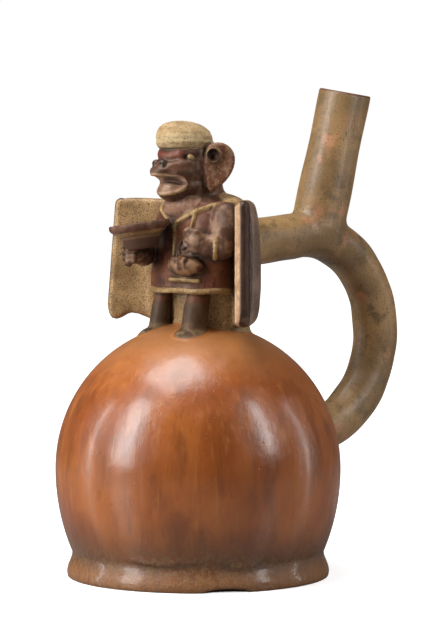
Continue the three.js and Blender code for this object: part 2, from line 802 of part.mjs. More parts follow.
// An ear: a dished leaf swept back beside the head, with a round hollow for a spool.
function ear(side) {
  const outline = new THREE.Shape();
  outline.moveTo(-6.4, 6.4);
  outline.bezierCurveTo(-2, 10.8, 6.6, 9, 7.6, 1.4);
  outline.bezierCurveTo(8, -5, 3.8, -10.6, -3.4, -15.6);
  outline.bezierCurveTo(-6, -15.6, -5.4, -10, -6.8, -6);
  const bevel = { bevelEnabled: true, bevelThickness: 1, bevelSize: 1, bevelOffset: -1, bevelSegments: 1 };
  const leaf = new THREE.ExtrudeGeometry(outline, { depth: 1.6, curveSegments: 3, ...bevel });
  const place = new THREE.Matrix4().makeBasis(
    new THREE.Vector3(0.72, 0.694, 0),
    new THREE.Vector3(0, 0, 1),
    new THREE.Vector3(0.694, -0.72, 0),
  );
  place.setPosition(17.9, -1.2, 88);
  const onLeaf = (x, y, depth) => new THREE.Vector3(x, y, depth).applyMatrix4(place).toArray();
  const dish = new THREE.SphereGeometry(1, 8, 5).scale(6.4, 9.6, 2).translate(1.4, -1.8, 3.2);
  dish.applyMatrix4(place);
  const ring = rod([[...onLeaf(-2.6, 2.6, 0), 4.7], [...onLeaf(-2.6, 2.6, 1), 4.5]], 9);
  const hollow = rod([[...onLeaf(-2.6, 2.6, 3.6), 3.2], [...onLeaf(-2.6, 2.6, 9), 3.6]], 8);
  const root = rod([[...onLeaf(-6, -1, -1), 3], [...onLeaf(-4, -11, -1), 2.6]], 6);
  const made = solid(leaf.applyMatrix4(place)).subtract(solid(dish)).add(ring).add(root).subtract(hollow);
  return side > 0 ? made : solid(mirrored(geometryOf(made)));
}

function figure() {
  const forms = [core(), tunic(), tunicTrim(), pouch(), mantle(), legs(), leftArm(), rightArm()];
  const whole = join([...forms, bowl(), face(), cap(), ear(1), ear(-1)]).subtract(wingBreak());
  return solid(geometryOf(whole).scale(unit, unit, unit).translate(0, 0, footing));
}

// The figure is hollow to its shoulders, so that air and liquid pass from the chamber to the tube.
function torsoHollow() {
  const hollowY = 4 * unit;
  const radius = 16 * unit - torsoWall;
  const low = [0, hollowY, chamberHeight - chamberWall - radius, radius];
  const high = [0, hollowY, footing + 46 * unit, radius * 0.8];
  return rod([low, high], 12);
}

function vessel() {
  const outside = join([chamberBody(), stirrupTube(), spoutTube(), figure()]);
  const inside = join([chamberCavity(), stirrupBore(), spoutHollow(), torsoHollow()]);
  return outside.subtract(inside).subtract(footChip());
}

const clay = new THREE.MeshStandardMaterial({ color: 0xa85a32, roughness: 0.45, metalness: 0 });
const group = new THREE.Group();
const shape = tidied(geometryOf(vessel()));
shape.computeVertexNormals();
const body = new THREE.Mesh(shape, clay);
body.name = "vessel";
group.add(body);

export default group;
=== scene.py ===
"""Blender look of a stirrup spout vessel of fired clay: a round burnished chamber on a flared foot, a
mantled figure that stands on it with a bowl, and a tube that arches from the figure's back to the
chamber and carries the spout.

Forms are distance functions in millimetres. They are joined with soft seams, meshed, and painted by
the distance from each vertex to each form. The figure's forms have their zero level at its footing."""
import math

import bpy
import numpy as np
import openvdb
from mathutils import Euler, Matrix, Vector


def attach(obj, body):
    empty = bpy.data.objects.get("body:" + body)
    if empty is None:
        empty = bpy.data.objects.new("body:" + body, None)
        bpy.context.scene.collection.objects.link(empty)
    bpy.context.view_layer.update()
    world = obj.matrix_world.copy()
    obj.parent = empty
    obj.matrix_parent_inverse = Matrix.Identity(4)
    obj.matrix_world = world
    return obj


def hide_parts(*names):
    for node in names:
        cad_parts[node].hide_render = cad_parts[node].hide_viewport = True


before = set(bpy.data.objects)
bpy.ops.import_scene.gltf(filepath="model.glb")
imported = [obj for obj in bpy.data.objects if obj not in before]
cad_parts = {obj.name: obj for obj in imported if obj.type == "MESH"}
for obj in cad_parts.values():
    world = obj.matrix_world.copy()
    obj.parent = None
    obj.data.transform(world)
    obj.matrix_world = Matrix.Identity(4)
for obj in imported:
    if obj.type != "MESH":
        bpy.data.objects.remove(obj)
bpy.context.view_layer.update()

# Driving sizes in millimetres and degrees, the same as in the CAD model
CHAMBER_WIDTH = 143
CHAMBER_HEIGHT = 127
WIDEST_LEVEL = 54
WAIST_WIDTH = 126.2
WAIST_LEVEL = 12.5
FOOT_WIDTH = 131.6
FOOT_LIP_LEVEL = 2.4
FOOT_EDGE_ROUND = 1.1
CHIP_BEARING = 62.6
TUBE_WIDTH = 23
ARCH_RADIUS = 51.4
ARCH_SET_IN = 1.2
ARM_SLOPE = 5.5
SPOUT_WIDTH = 26.4
SPOUT_ROOT_WIDTH = 27.6
SPOUT_BORE = 18.5
SPOUT_LENGTH = 77.2
SPOUT_TILT = 15.5
SPOUT_BEARING = 10
MOUTH_TILT_BACK = 6.8
MOUTH_TILT_SIDE = 7.6
FOOTING = 120

# Sizes of the look alone: how much thicker the tube is at the figure, and where the figure's mesh ends
TUBE_SWELL = 0.6
FIGURE_BACK = 34
MM = 0.001

# Fineness of the meshes
BODY_VOXEL = 1.2
FIGURE_VOXEL = 0.75
# The boxes that they are made in, the figure's from its footing
BODY_BOX = ((-76, -76, -3), (76, 138, 252))
FIGURE_BOX = ((-57, -50, -14), (57, 37, 110))
# How far from a form its distance is known, and how deep the figure's mesh runs under the body
FAR = 6.0
SKIN = 0.1


# Joins of distances

def soft_min(a, b, blend):
    if blend <= 0:
        return np.minimum(a, b)
    share = np.clip(0.5 + 0.5 * (b - a) / blend, 0, 1)
    return b + (a - b) * share - blend * share * (1 - share)


def soft_max(a, b, blend):
    return -soft_min(-a, -b, blend)


def joined(value, found, blend, is_cut):
    """A distance with one more form added to it, or cut from it."""
    if is_cut:
        return soft_max(value, -found, blend)
    return soft_min(value, found, blend)


class Form:
    """A distance function with the box that its surface lies in."""

    def __init__(self, low, high, distance):
        self.low = np.array(low, float)
        self.high = np.array(high, float)
        self.distance = distance


def ellipsoid(centre, halves, turns=(0, 0, 0)):
    """An ellipsoid with its half sizes, turned about its centre by degrees."""
    centre = np.array(centre, float)
    halves = np.array(halves, float)
    axes = np.array(Euler([math.radians(turn) for turn in turns], "ZYX").to_matrix())
    reach = np.abs(axes) @ halves

    def distance(x, y, z):
        px, py, pz = x - centre[0], y - centre[1], z - centre[2]
        local = [axes[0, i] * px + axes[1, i] * py + axes[2, i] * pz for i in range(3)]
        size = np.sqrt(sum((value / half) ** 2 for value, half in zip(local, halves)))
        slope = np.sqrt(sum((value / half ** 2) ** 2 for value, half in zip(local, halves)))
        return size * (size - 1) / np.maximum(slope, 1e-4)

    return Form(centre - reach, centre + reach, distance)


def rod(points, ease=0.4):
    """A round-ended rod through a list of (x, y, z, radius)."""
    points = np.array(points, float)
    radii = points[:, 3:4]

    def distance(x, y, z):
        whole = None
        for start, end in zip(points[:-1], points[1:]):
            run = end - start
            px, py, pz = x - start[0], y - start[1], z - start[2]
            along = (px * run[0] + py * run[1] + pz * run[2]) / max(run[:3] @ run[:3], 1e-9)
            along = np.clip(along, 0, 1)
            offsets = (value - along * part for value, part in zip((px, py, pz), run))
            gap = np.sqrt(sum(offset ** 2 for offset in offsets))
            piece = gap - (start[3] + run[3] * along)
            whole = piece if whole is None else soft_min(whole, piece, ease)
        return whole

    return Form((points[:, :3] - radii).min(0), (points[:, :3] + radii).max(0), distance)


def outline_distance(u, v, outline):
    """Signed distance in a plane to a closed outline of (u, v) points, negative inside."""
    nearest = None
    inside = None
    for (u0, v0), (u1, v1) in zip(outline, outline[1:] + outline[:1]):
        run_u, run_v = u1 - u0, v1 - v0
        length = max(run_u ** 2 + run_v ** 2, 1e-12)
        along = np.clip(((u - u0) * run_u + (v - v0) * run_v) / length, 0, 1)
        gap = (u - u0 - along * run_u) ** 2 + (v - v0 - along * run_v) ** 2
        nearest = gap if nearest is None else np.minimum(nearest, gap)
        crosses = (v0 > v) != (v1 > v)
        side = u < u0 + (v - v0) * run_u / (run_v if run_v else 1e-12)
        hit = crosses & side
        inside = hit if inside is None else inside ^ hit
    return np.where(inside, -1, 1) * np.sqrt(nearest)


def local_to(place, x, y, z):
    """Points as they are seen from a place given by a 4 by 4 matrix."""
    back = np.array(place.inverted())
    return [back[i, 0] * x + back[i, 1] * y + back[i, 2] * z + back[i, 3] for i in range(3)]


def placed(form, place):
    """The same form moved by a 4 by 4 matrix."""
    corners = [Vector((x, y, z)) for x in (form.low[0], form.high[0])
               for y in (form.low[1], form.high[1]) for z in (form.low[2], form.high[2])]
    moved = np.array([place @ corner for corner in corners])

    def distance(x, y, z):
        return form.distance(*local_to(place, x, y, z))

    return Form(moved.min(0), moved.max(0), distance)


def mirrored(form):
    """The same form on the other side of the plane x = 0."""
    low, high = form.low.copy(), form.high.copy()
    low[0], high[0] = -form.high[0], -form.low[0]
    return Form(low, high, lambda x, y, z: form.distance(-x, y, z))


def turned(profile, step=0.5):
    """A form turned about Z from a profile of (radius, height), from the axis back to the axis."""
    heights = [height for _, height in profile]
    widest = max(radius for radius, _ in profile)
    outline = list(profile) + [(-radius, height) for radius, height in reversed(profile)]
    radii = np.arange(0, widest + FAR + step, step)
    levels = np.arange(min(heights) - FAR, max(heights) + FAR + step, step)
    table = outline_distance(radii[:, None], levels[None, :], outline)

    def distance(x, y, z):
        across = np.clip(np.sqrt(x * x + y * y) / step, 0, len(radii) - 1.001)
        up = np.clip((z - levels[0]) / step, 0, len(levels) - 1.001)
        i, j = across.astype(int), up.astype(int)
        a, b = across - i, up - j
        lower = table[i, j] * (1 - a) + table[i + 1, j] * a
        upper = table[i, j + 1] * (1 - a) + table[i + 1, j + 1] * a
        return lower * (1 - b) + upper * b

    return Form((-widest, -widest, min(heights)), (widest, widest, max(heights)), distance)


def plate(outline, thickness, edge):
    """An outline in the plane x, y, made into a plate from z = 0 up, with rounded edges."""
    points = np.array(outline, float)

    def distance(x, y, z):
        flat = outline_distance(x, y, [tuple(point) for point in points]) + edge
        deep = np.abs(z - thickness / 2) - thickness / 2 + edge
        outside = np.sqrt(np.maximum(flat, 0) ** 2 + np.maximum(deep, 0) ** 2)
        return outside + np.minimum(np.maximum(flat, deep), 0) - edge

    low, high = points.min(0), points.max(0)
    return Form((*low, 0), (*high, thickness), distance)


def stack(levels, power=2.0, ends=1.5):
    """Ovals of (level, centre y, half width, half depth), one above the other."""
    levels = np.array(levels, float)

    def distance(x, y, z):
        centre, width, depth = (np.interp(z, levels[:, 0], levels[:, i]) for i in (1, 2, 3))
        across, deep = np.abs(x) / width, np.abs(y - centre) / depth
        size = (across ** power + deep ** power + 1e-9) ** (1 / power)
        slope_x = (across / size) ** (power - 1) / width
        slope_y = (deep / size) ** (power - 1) / depth
        wall = (size - 1) / np.sqrt(slope_x ** 2 + slope_y ** 2 + 1e-9)
        return soft_max(soft_max(wall, z - levels[-1, 0], ends), levels[0, 0] - z, ends)

    half_width, depth = levels[:, 2].max(), levels[:, 3].max()
    low = (-half_width, levels[:, 1].min() - depth, levels[0, 0])
    high = (half_width, levels[:, 1].max() + depth, levels[-1, 0])
    return Form(low, high, distance)


class Sculpt:
    """Forms joined and cut one after the other, each with the name of the paint that it wears."""

    def __init__(self, voxel):
        self.voxel = voxel
        self.steps = []

    def add(self, form, blend=0.8, paint=""):
        self.steps.append((form, blend, paint, False))

    def cut(self, form, blend=0.8):
        self.steps.append((form, blend, "", True))

    def both(self, form, blend=0.8, paint="", cut=False):
        """Adds or cuts a form and its mirror image."""
        for side in (form, mirrored(form)):
            self.steps.append((side, blend, "" if cut else paint, cut))

    def at(self, x, y, z, only=None):
        """Distances at points; only keeps the forms of one paint."""
        value = np.full(x.shape, FAR)
        for form, blend, paint, is_cut in self.steps:
            if only is not None and paint != only:
                continue
            margin = blend + FAR
            near = np.ones(x.shape, bool)
            for axis, low, high in zip((x, y, z), form.low, form.high):
                near &= (axis > low - margin) & (axis < high + margin)
            if near.any():
                found = form.distance(x[near], y[near], z[near])
                value[near] = joined(value[near], found, blend, is_cut)
        return value

    def mesh(self, low, high):
        """Points and four-sided faces of the surface inside a box."""
        axes = [np.arange(a, b + self.voxel, self.voxel) for a, b in zip(low, high)]
        field = np.full([len(axis) for axis in axes], FAR)
        for form, blend, _, is_cut in self.steps:
            margin = blend + 3 * self.voxel
            spans = [slice(*np.searchsorted(axis, (a - margin, b + margin)))
                     for axis, a, b in zip(axes, form.low, form.high)]
            if any(span.start >= span.stop for span in spans):
                continue
            x, y, z = (axis[span] for axis, span in zip(axes, spans))
            found = form.distance(x[:, None, None], y[None, :, None], z[None, None, :])
            here = tuple(spans)
            field[here] = joined(field[here], found, blend, is_cut)
        grid = openvdb.FloatGrid()
        grid.copyFromArray(field.astype(np.float32))
        points, faces = grid.convertToQuads()
        return points.astype(float) * self.voxel + np.array([axis[0] for axis in axes]), faces

    def settled(self, points, rounds=2):
        """Points drawn onto the exact surface, with the outward direction at each."""
        step = self.voxel * 0.35
        for _ in range(rounds):
            slope = np.empty_like(points)
            for axis in range(3):
                shift = np.zeros(3)
                shift[axis] = step
                ahead = self.at(*(points + shift).T)
                slope[:, axis] = (ahead - self.at(*(points - shift).T)) / (2 * step)
            length = np.maximum(np.linalg.norm(slope, axis=1), 0.3)
            move = np.clip(self.at(*points.T) / length, -0.6 * self.voxel, 0.6 * self.voxel)
            points = points - slope / length[:, None] * move[:, None]
        return points, slope / length[:, None]


# The vessel's body

BELLY_RADIUS = CHAMBER_WIDTH / 2
LOWER_REACH = (WIDEST_LEVEL - WAIST_LEVEL) / math.sqrt(1 - (WAIST_WIDTH / CHAMBER_WIDTH) ** 2)
ARM_START = (4, FOOTING + 43.2)
ARCH_Y = BELLY_RADIUS - ARCH_SET_IN
SLOPE = math.radians(ARM_SLOPE)
JOIN = (ARCH_Y - ARCH_RADIUS * math.sin(SLOPE),
        ARM_START[1] + (ARCH_Y - ARCH_RADIUS * math.sin(SLOPE) - ARM_START[0]) * math.tan(SLOPE))
ARCH_Z = JOIN[1] - ARCH_RADIUS * math.cos(SLOPE)


def chamber_radius(height):
    reach = CHAMBER_HEIGHT - WIDEST_LEVEL if height > WIDEST_LEVEL else LOWER_REACH
    share = min(1, abs(height - WIDEST_LEVEL) / reach)
    return BELLY_RADIUS * math.sqrt(1 - share ** 2)


def chamber():
    foot = FOOT_WIDTH / 2
    profile = [(0, 0), (foot - FOOT_EDGE_ROUND, 0), (foot - FOOT_EDGE_ROUND * 0.3, FOOT_EDGE_ROUND * 0.4)]
    profile.append((foot, FOOT_LIP_LEVEL))
    for i in range(1, 13):
        share = i / 12
        swing = (1 + math.cos(math.pi * share)) / 2
        radius = WAIST_WIDTH / 2 + (foot - WAIST_WIDTH / 2) * swing
        profile.append((radius, FOOT_LIP_LEVEL + (WAIST_LEVEL - FOOT_LIP_LEVEL) * share))
    for i in range(1, 25):
        height = WAIST_LEVEL + (WIDEST_LEVEL - WAIST_LEVEL) * i / 24
        profile.append((chamber_radius(height), height))
    for i in range(1, 48):
        height = WIDEST_LEVEL + (CHAMBER_HEIGHT - WIDEST_LEVEL) * math.sin(i / 48 * math.pi / 2)
        profile.append((chamber_radius(height), height))
    profile.append((0, CHAMBER_HEIGHT))
    return turned(profile)


def segment_distance(u, v, start, end):
    run = (end[0] - start[0], end[1] - start[1])
    along = ((u - start[0]) * run[0] + (v - start[1]) * run[1]) / (run[0] ** 2 + run[1] ** 2)
    along = np.clip(along, 0, 1)
    return np.hypot(u - start[0] - along * run[0], v - start[1] - along * run[1])


def stirrup():
    """The tube: a straight arm out of the figure's back, a round arch and a level end in the chamber."""
    radius = TUBE_WIDTH / 2

    def distance(x, y, z):
        swing = np.arctan2(y - ARCH_Y, z - ARCH_Z)
        arch = np.abs(np.hypot(y - ARCH_Y, z - ARCH_Z) - ARCH_RADIUS)
        arch = np.where(swing > -SLOPE, arch, 1e3)
        arm = segment_distance(y, z, ARM_START, JOIN)
        foot = segment_distance(y, z, (ARCH_Y, ARCH_Z - ARCH_RADIUS), (ARCH_Y - 10, ARCH_Z - ARCH_RADIUS))
        path = np.minimum(np.minimum(arch, arm), foot)
        thick = radius + TUBE_SWELL * np.clip((60 - y) / 40, 0, 1) * (z > ARCH_Z)
        uneven = 0.22 * np.sin(swing * 7 + 0.8) + 0.16 * np.sin(swing * 13 + x * 0.2)
        return np.hypot(x, path) - thick + np.minimum(uneven, 0.12)

    top = ARCH_Z + ARCH_RADIUS + radius
    return Form((-radius - 1, ARM_START[0] - radius, ARCH_Z - ARCH_RADIUS - radius),
                (radius + 1, ARCH_Y + ARCH_RADIUS + radius, top), distance)


def spout_place():
    angle = math.radians(SPOUT_BEARING)
    at = Vector((0, ARCH_Y + ARCH_RADIUS * math.sin(angle), ARCH_Z + ARCH_RADIUS * math.cos(angle)))
    return Matrix.Translation(at) @ Matrix.Rotation(-math.radians(SPOUT_TILT), 4, "X")


def spout():
    radius, root = SPOUT_WIDTH / 2, SPOUT_ROOT_WIDTH / 2
    profile = [(0, -6), (root - 3, -6), (root, 4)]
    for i in range(13):
        level = 12 + (SPOUT_LENGTH - 6) * i / 12
        share = i / 12
        profile.append((root + (radius - root) * share + 0.25 * math.sin(share * 9), level))
    profile.append((0, profile[-1][1]))
    return placed(turned(profile), spout_place())


def spout_hollow():
    radius = SPOUT_BORE / 2
    profile = [(0, 6), (radius - 3, 8), (radius, 18), (radius, SPOUT_LENGTH - 6),
               (radius + 0.5, SPOUT_LENGTH + 12), (0, SPOUT_LENGTH + 12)]
    return placed(turned(profile), spout_place())


def above_mouth():
    """Everything above the plane that the spout's mouth is trimmed on."""
    turn = Matrix.Rotation(math.radians(MOUTH_TILT_SIDE), 3, "Y") @ Matrix.Rotation(
        -math.radians(MOUTH_TILT_BACK), 3, "X")
    normal = turn @ Vector((0, 0, 1))
    middle = spout_place() @ Vector((0, 0, SPOUT_LENGTH))

    def distance(x, y, z):
        return -((x - middle.x) * normal.x + (y - middle.y) * normal.y + (z - middle.z) * normal.z)

    reach = SPOUT_WIDTH * 0.8
    low, high = (-reach, middle.y - reach, middle.z - 6), (reach, middle.y + reach, middle.z + reach)
    return Form(low, high, distance)


def foot_chip():
    angle = math.radians(CHIP_BEARING)
    radius = FOOT_WIDTH / 2
    centre = (radius * math.sin(angle), -radius * math.cos(angle), 0)
    return ellipsoid(centre, (12, 5, 2.1), (0, 0, CHIP_BEARING))


def clay_smears():
    """Low ridges of clay that the potter's fingers left where the foot meets the wall."""
    ridges = []
    for bearing, level, length, height in ((24, 15.5, 12, 0.3), (33, 14.2, 16, 0.4), (44, 15.6, 10, 0.3),
                                           (70, 12.8, 12, 0.1)):
        angle = math.radians(bearing)
        radius = WAIST_WIDTH / 2 + 0.4
        centre = (radius * math.sin(angle), -radius * math.cos(angle), level)
        ridges.append(ellipsoid(centre, (length / 2, height + 0.6, 1.5), (0, 0, bearing)))
    return ridges


def vessel_body():
    body = Sculpt(BODY_VOXEL)
    body.add(chamber(), 0, "chamber")
    for ridge in clay_smears():
        body.add(ridge, 1.6, "chamber")
    body.add(stirrup(), 3.0, "arch")
    body.add(spout(), 5.0, "arch")
    body.cut(spout_hollow(), 0.5)
    body.cut(above_mouth(), 1.1)
    body.cut(foot_chip(), 0.6)
    return body


# The figure's mantle

MANTLE_FOOT = 6
MANTLE_TOP = 68.3
WING_ROOT = (16, 7)
WING_EDGE_FOOT = (51.8, -18.4)
WING_EDGE_TOP = (48.2, -15.2)
RIM = 3.0
MANTLE_WIDEST = 0.42
MANTLE_ROUNDNESS = 2.08
MANTLE_BACK = 17


def wing_edge(share):
    """How far the wing runs from its root at a share of its height, and in which direction."""
    run_x, run_y = (foot + (top - foot) * share - root
                    for foot, top, root in zip(WING_EDGE_FOOT, WING_EDGE_TOP, WING_ROOT))
    run = np.hypot(run_x, run_y)
    return run, run_x / run, run_y / run


def wing_frame(x, y, z):
    """Where a point lies on the wing: how far out along it, how deep behind its face, and its run."""
    share = np.clip((z - MANTLE_FOOT) / (MANTLE_TOP - MANTLE_FOOT), 0, 1)
    run, along_x, along_y = wing_edge(share)
    px, py = np.abs(x) - WING_ROOT[0], y - WING_ROOT[1]
    return px * along_x + py * along_y, -px * along_y + py * along_x, run, along_x, along_y, share


def wing_underside(reach):
    """The level of the wing's lower edge: a round lobe at the free edge and a notch beside it."""
    return np.interp(reach, (10, 15, 18, 22, 27, 31, 34, 36.5, 38.5, 40.5, 42, 43.2, 43.8),
                     (-4, 3.2, 5.6, 7.8, 9.8, 10.4, 9.4, 7.6, 6.6, 7.4, 9.6, 13, 18))


def mantle():
    def distance(x, y, z):
        reach, depth, run, along_x, along_y, share = wing_frame(x, y, z)
        hollow = 1.7 * np.sin(math.pi * np.clip(reach / (run - RIM), 0, 1))
        lump = 0.5 * np.exp(-((reach - 20) / 2.2) ** 2) * (z < 40) * (x < 0)
        inner = hollow - lump - depth
        last_x = WING_ROOT[0] + along_x * (run - RIM) - along_y * 2 * RIM
        last_y = WING_ROOT[1] + along_y * (run - RIM) + along_x * 2 * RIM
        low = share < MANTLE_WIDEST
        away = np.abs(share - MANTLE_WIDEST) / np.where(low, MANTLE_WIDEST, 1 - MANTLE_WIDEST)
        swell = np.where(low, 1 - 0.11 * away ** 1.6, 1 - 0.2 * away ** 2.4)
        fall = np.interp(z, (6, 9, 16, 26, 42, 54, 61, 65, 67.4, 68.3),
                         (6.4, 5, 2.6, 1.3, 1, 1.5, 2.6, 4, 5.4, 6.4))
        back = MANTLE_BACK * (1 + swell) / 2 - fall
        across = np.abs(x) / (last_x - fall * 0.3)
        deep = np.maximum(y - last_y, 0) / (back - last_y)
        power = MANTLE_ROUNDNESS
        size = (across ** power + deep ** power + 1e-9) ** (1 / power)
        slope_x = (across / size) ** (power - 1) / last_x
        slope = np.hypot(slope_x, (deep / size) ** (power - 1) / (back - last_y))
        outer = (size - 1) / np.maximum(slope, 1e-3)
        front = np.where(np.abs(x) < WING_ROOT[0], -2 - y, -1e3)
        wing = soft_max(np.maximum(inner, front), outer, 1.2)
        wing = soft_max(wing, reach - (run - RIM), 0.4)
        rim = np.hypot(reach - (run - RIM), depth - RIM) - RIM
        whole = soft_min(wing, rim, 0.3)
        whole = soft_max(whole, z - MANTLE_TOP - 0.5 * np.exp(-((reach - 30) / 14) ** 2), 3.4)
        whole = soft_max(whole, MANTLE_FOOT - z, 2.4)
        below = (wing_underside(reach) - z) / 1.25
        return soft_max(whole, below, 2.2)

    return Form((-54, -24, -4), (54, 18, MANTLE_TOP + 1), distance)


def wing_rim_points(side, depth, out, levels):
    """Points along a wing's free edge, at a depth behind its face and a distance in from its edge."""
    points = []
    for z in levels:
        run, along_x, along_y = wing_edge((z - MANTLE_FOOT) / (MANTLE_TOP - MANTLE_FOOT))
        reach = run - out
        points.append((side * (WING_ROOT[0] + along_x * reach - along_y * depth),
                       WING_ROOT[1] + along_y * reach + along_x * depth, z))
    return points


# The figure's body

TUNIC_FOOT = 22.4
TUNIC_LEVELS = [(TUNIC_FOOT, -2.4, 26.2, 17.4), (32, -2.1, 26, 17.3), (40, -1.6, 25.6, 16.3),
                (50, -1, 25.8, 15.4), (58, -0.6, 26, 14.8), (62, -0.2, 25, 14.2),
                (65.5, 0, 21, 13.2), (68.5, 0, 15, 12.6)]
TUNIC_POWER = 2.15
BOWL_PLACE = (-9.2, -30.4, 57.2)
BOWL_LEAN = (5, -6.8, 0)


def tunic_front(x, level):
    """The tunic's front at an x and a level."""
    levels = np.array(TUNIC_LEVELS)
    centre, width, depth = (np.interp(level, levels[:, 0], levels[:, i]) for i in (1, 2, 3))
    return centre - depth * (1 - (abs(x) / width) ** TUNIC_POWER) ** (1 / TUNIC_POWER)


def cord(points, radius, sink=0.25):
    """A raised cord that lies on the tunic through a list of (x, level)."""
    dense = []
    for (x0, z0), (x1, z1) in zip(points[:-1], points[1:]):
        count = max(2, int(math.hypot(x1 - x0, z1 - z0) / 2))
        dense += [(x0 + (x1 - x0) * i / count, z0 + (z1 - z0) * i / count) for i in range(count)]
    dense.append(points[-1])
    return rod([(x, tunic_front(x, z) - radius * sink, z, radius) for x, z in dense])


def add_clothes(figure):
    torso = [(-8, 8, 27, 18), (1, 6.8, 24.2, 17), (30, 6, 23, 16), (66, 5, 17, 13)]
    figure.add(stack(torso, 2.2), 1.2, "core")
    figure.add(mantle(), 1.6, "mantle")
    figure.add(stack(TUNIC_LEVELS, TUNIC_POWER, 2.4), 1.0, "tunic")
    figure.both(ellipsoid((13, 6.5, 66.2), (15, 8, 5.4), (0, 8, 0)), 3.0, "mantle")
    for side in (1, -1):
        if side > 0:
            edge = wing_rim_points(side, 0.7, 5.6, range(10, 66, 5))
            figure.add(rod([(x, y, z, 1.6) for x, y, z in edge]), 0.9, "lip")
        groove = wing_rim_points(side, 6.6, 2.0, range(8, 68, 5))
        figure.cut(rod([(x, y, z, 0.8) for x, y, z in groove]), 0.8)
    hem = []
    for bearing in range(-108, 109, 6):
        angle = math.radians(bearing)
        across = math.copysign(abs(math.sin(angle)) ** (2 / TUNIC_POWER), angle)
        deep = math.copysign(abs(math.cos(angle)) ** (2 / TUNIC_POWER), math.cos(angle))
        level = TUNIC_FOOT + 1.2 + 0.25 * math.sin(bearing * 0.11)
        hem.append((25.8 * across, -2.4 - 17.0 * deep, level, 1.3))
    figure.add(rod(hem), 0.6, "cream")
    for side in (1, -1):
        neckline = [(0, 55.6), (side * 6, 59), (side * 12, 62.2), (side * 20, 66)]
        figure.add(cord(neckline, 1.3 if side > 0 else 0.85), 0.6, "cream")
    figure.add(cord([(1.2, 55), (2.2, 48), (3.0, 41)], 0.95), 0.7, "cream")
    figure.add(cord([(13.4, 61.6), (12.6, 57), (11.8, 52)], 1.0), 0.6, "cream")
    figure.add(cord([(11, 50.5), (6.6, 48), (5.6, 44), (7, 41)], 0.9), 0.5, "strap")
    bar = [(2.4, 29.3), (10, 29.5), (18.4, 28.9)]
    figure.add(cord(bar, 1.15), 0.5, "cream")


def add_pouch(figure):
    y = tunic_front(12, 35)
    figure.add(ellipsoid((12, y - 0.8, 36), (10.6, 5.2, 5), (0, 0, 12)), 1.0, "pouch")
    figure.add(ellipsoid((7.2, y - 4.2, 38), (3.3, 2.5, 2.8)), 0.9, "pouch")
    figure.add(ellipsoid((13.8, y - 3.6, 38.3), (3.4, 2.5, 2.8)), 0.9, "pouch")
    figure.cut(ellipsoid((10.6, y - 6.8, 38.4), (0.6, 1.4, 1.8)), 1.4)
    figure.cut(ellipsoid((17, y - 4.2, 38.8), (0.7, 1.0, 0.9)), 1.0)


def add_legs(figure):
    for side, radius in ((1, 6.1), (-1, 5.1)):
        leg = [(side * 13.2, -10.8, 21, radius * 0.94), (side * 13.2, -12.4, 14, radius),
               (side * 13.4, -13.8, 6, radius * 1.04)]
        figure.add(rod(leg), 0.9, "leg")
        figure.add(ellipsoid((side * 13.8, -15.6, 0.6), (radius + 1.4, 9.6, 4.4)), 2.4, "leg")


def add_left_arm(figure):
    figure.add(rod([(24, -2, 60.6, 7), (26.6, -4.5, 53, 7.2), (27.2, -7, 46, 6.4)], 2), 1.4, "sleeve")
    forearm = [(27.4, -7, 45.6, 6.1), (22.6, -12.6, 45.8, 5.3), (18.4, -15.9, 47.4, 4.7)]
    figure.add(rod(forearm, 2), 1.0, "arm")
    across = Vector((0.65, 0.76, -0.03)).to_track_quat("Z", "Y").to_matrix().to_4x4()
    cuff = Matrix.Translation((25.0, -9.8, 45.7)) @ across
    ring = [(5.7 * math.cos(i * math.pi / 8), 5.7 * math.sin(i * math.pi / 8), 0) for i in range(17)]
    figure.add(rod([(*(cuff @ Vector(point)), 1.0) for point in ring]), 0.8, "cream")
    figure.add(ellipsoid((19.0, -17.4, 48.4), (5.8, 4.9, 5.7)), 1.6, "hand")
    for level in (51.4, 49.0, 46.7, 44.7):
        knuckle = (18.2, -20.0 - (level - 44) * 0.14, level)
        bend, tip = (15.4, -20.6, level - 0.5, 1.4), (13.8, -18.8, level - 0.9, 1.2)
        figure.add(rod([(*knuckle, 1.45), bend, tip]), 0.45, "hand")
    thumb = [(21.4, -18.8, 52.6, 1.8), (17.6, -20.8, 53.8, 1.6), (14.6, -20.8, 53, 1.3)]
    figure.add(rod(thumb), 0.6, "hand")
    figure.add(ellipsoid((15.0, -21.9, 45.2), (2.3, 1.5, 1.3)), 0.3, "nail")


def add_right_arm(figure):
    figure.add(rod([(-19, -1, 58.4, 6.4), (-22, -5, 51, 6.6), (-22.6, -9, 44.4, 6.2)], 2), 1.6, "sleeve")
    forearm = [(-22.6, -9, 43.6, 6.0), (-18.5, -20, 40.8, 5.2), (-14, -27.6, 41.2, 4.6)]
    figure.add(rod(forearm, 2), 1.0, "arm")
    figure.add(ellipsoid((-12.6, -30, 42), (5.4, 4.8, 3.8)), 1.4, "hand")
    for level, out in ((46.4, 0.6), (43.4, 0.9), (40.6, 0.4), (38.2, -0.6)):
        tip = (-12.9 - out, -34.4 - out * 0.6, level - 1.5)
        finger = [(-9.4, -33.6, level + 0.4, 1.7), (-11.6, -34.8, level - 0.3, 1.7), (*tip, 1.45)]
        figure.add(rod(finger), 0.5, "hand")
        figure.add(ellipsoid((tip[0] - 0.5, tip[1] - 0.9, tip[2]), (1.5, 1.2, 1.15)), 0.2, "nail")


def bowl_place():
    lean = Euler([math.radians(turn) for turn in BOWL_LEAN], "ZYX").to_matrix().to_4x4()
    return Matrix.Translation(BOWL_PLACE) @ lean


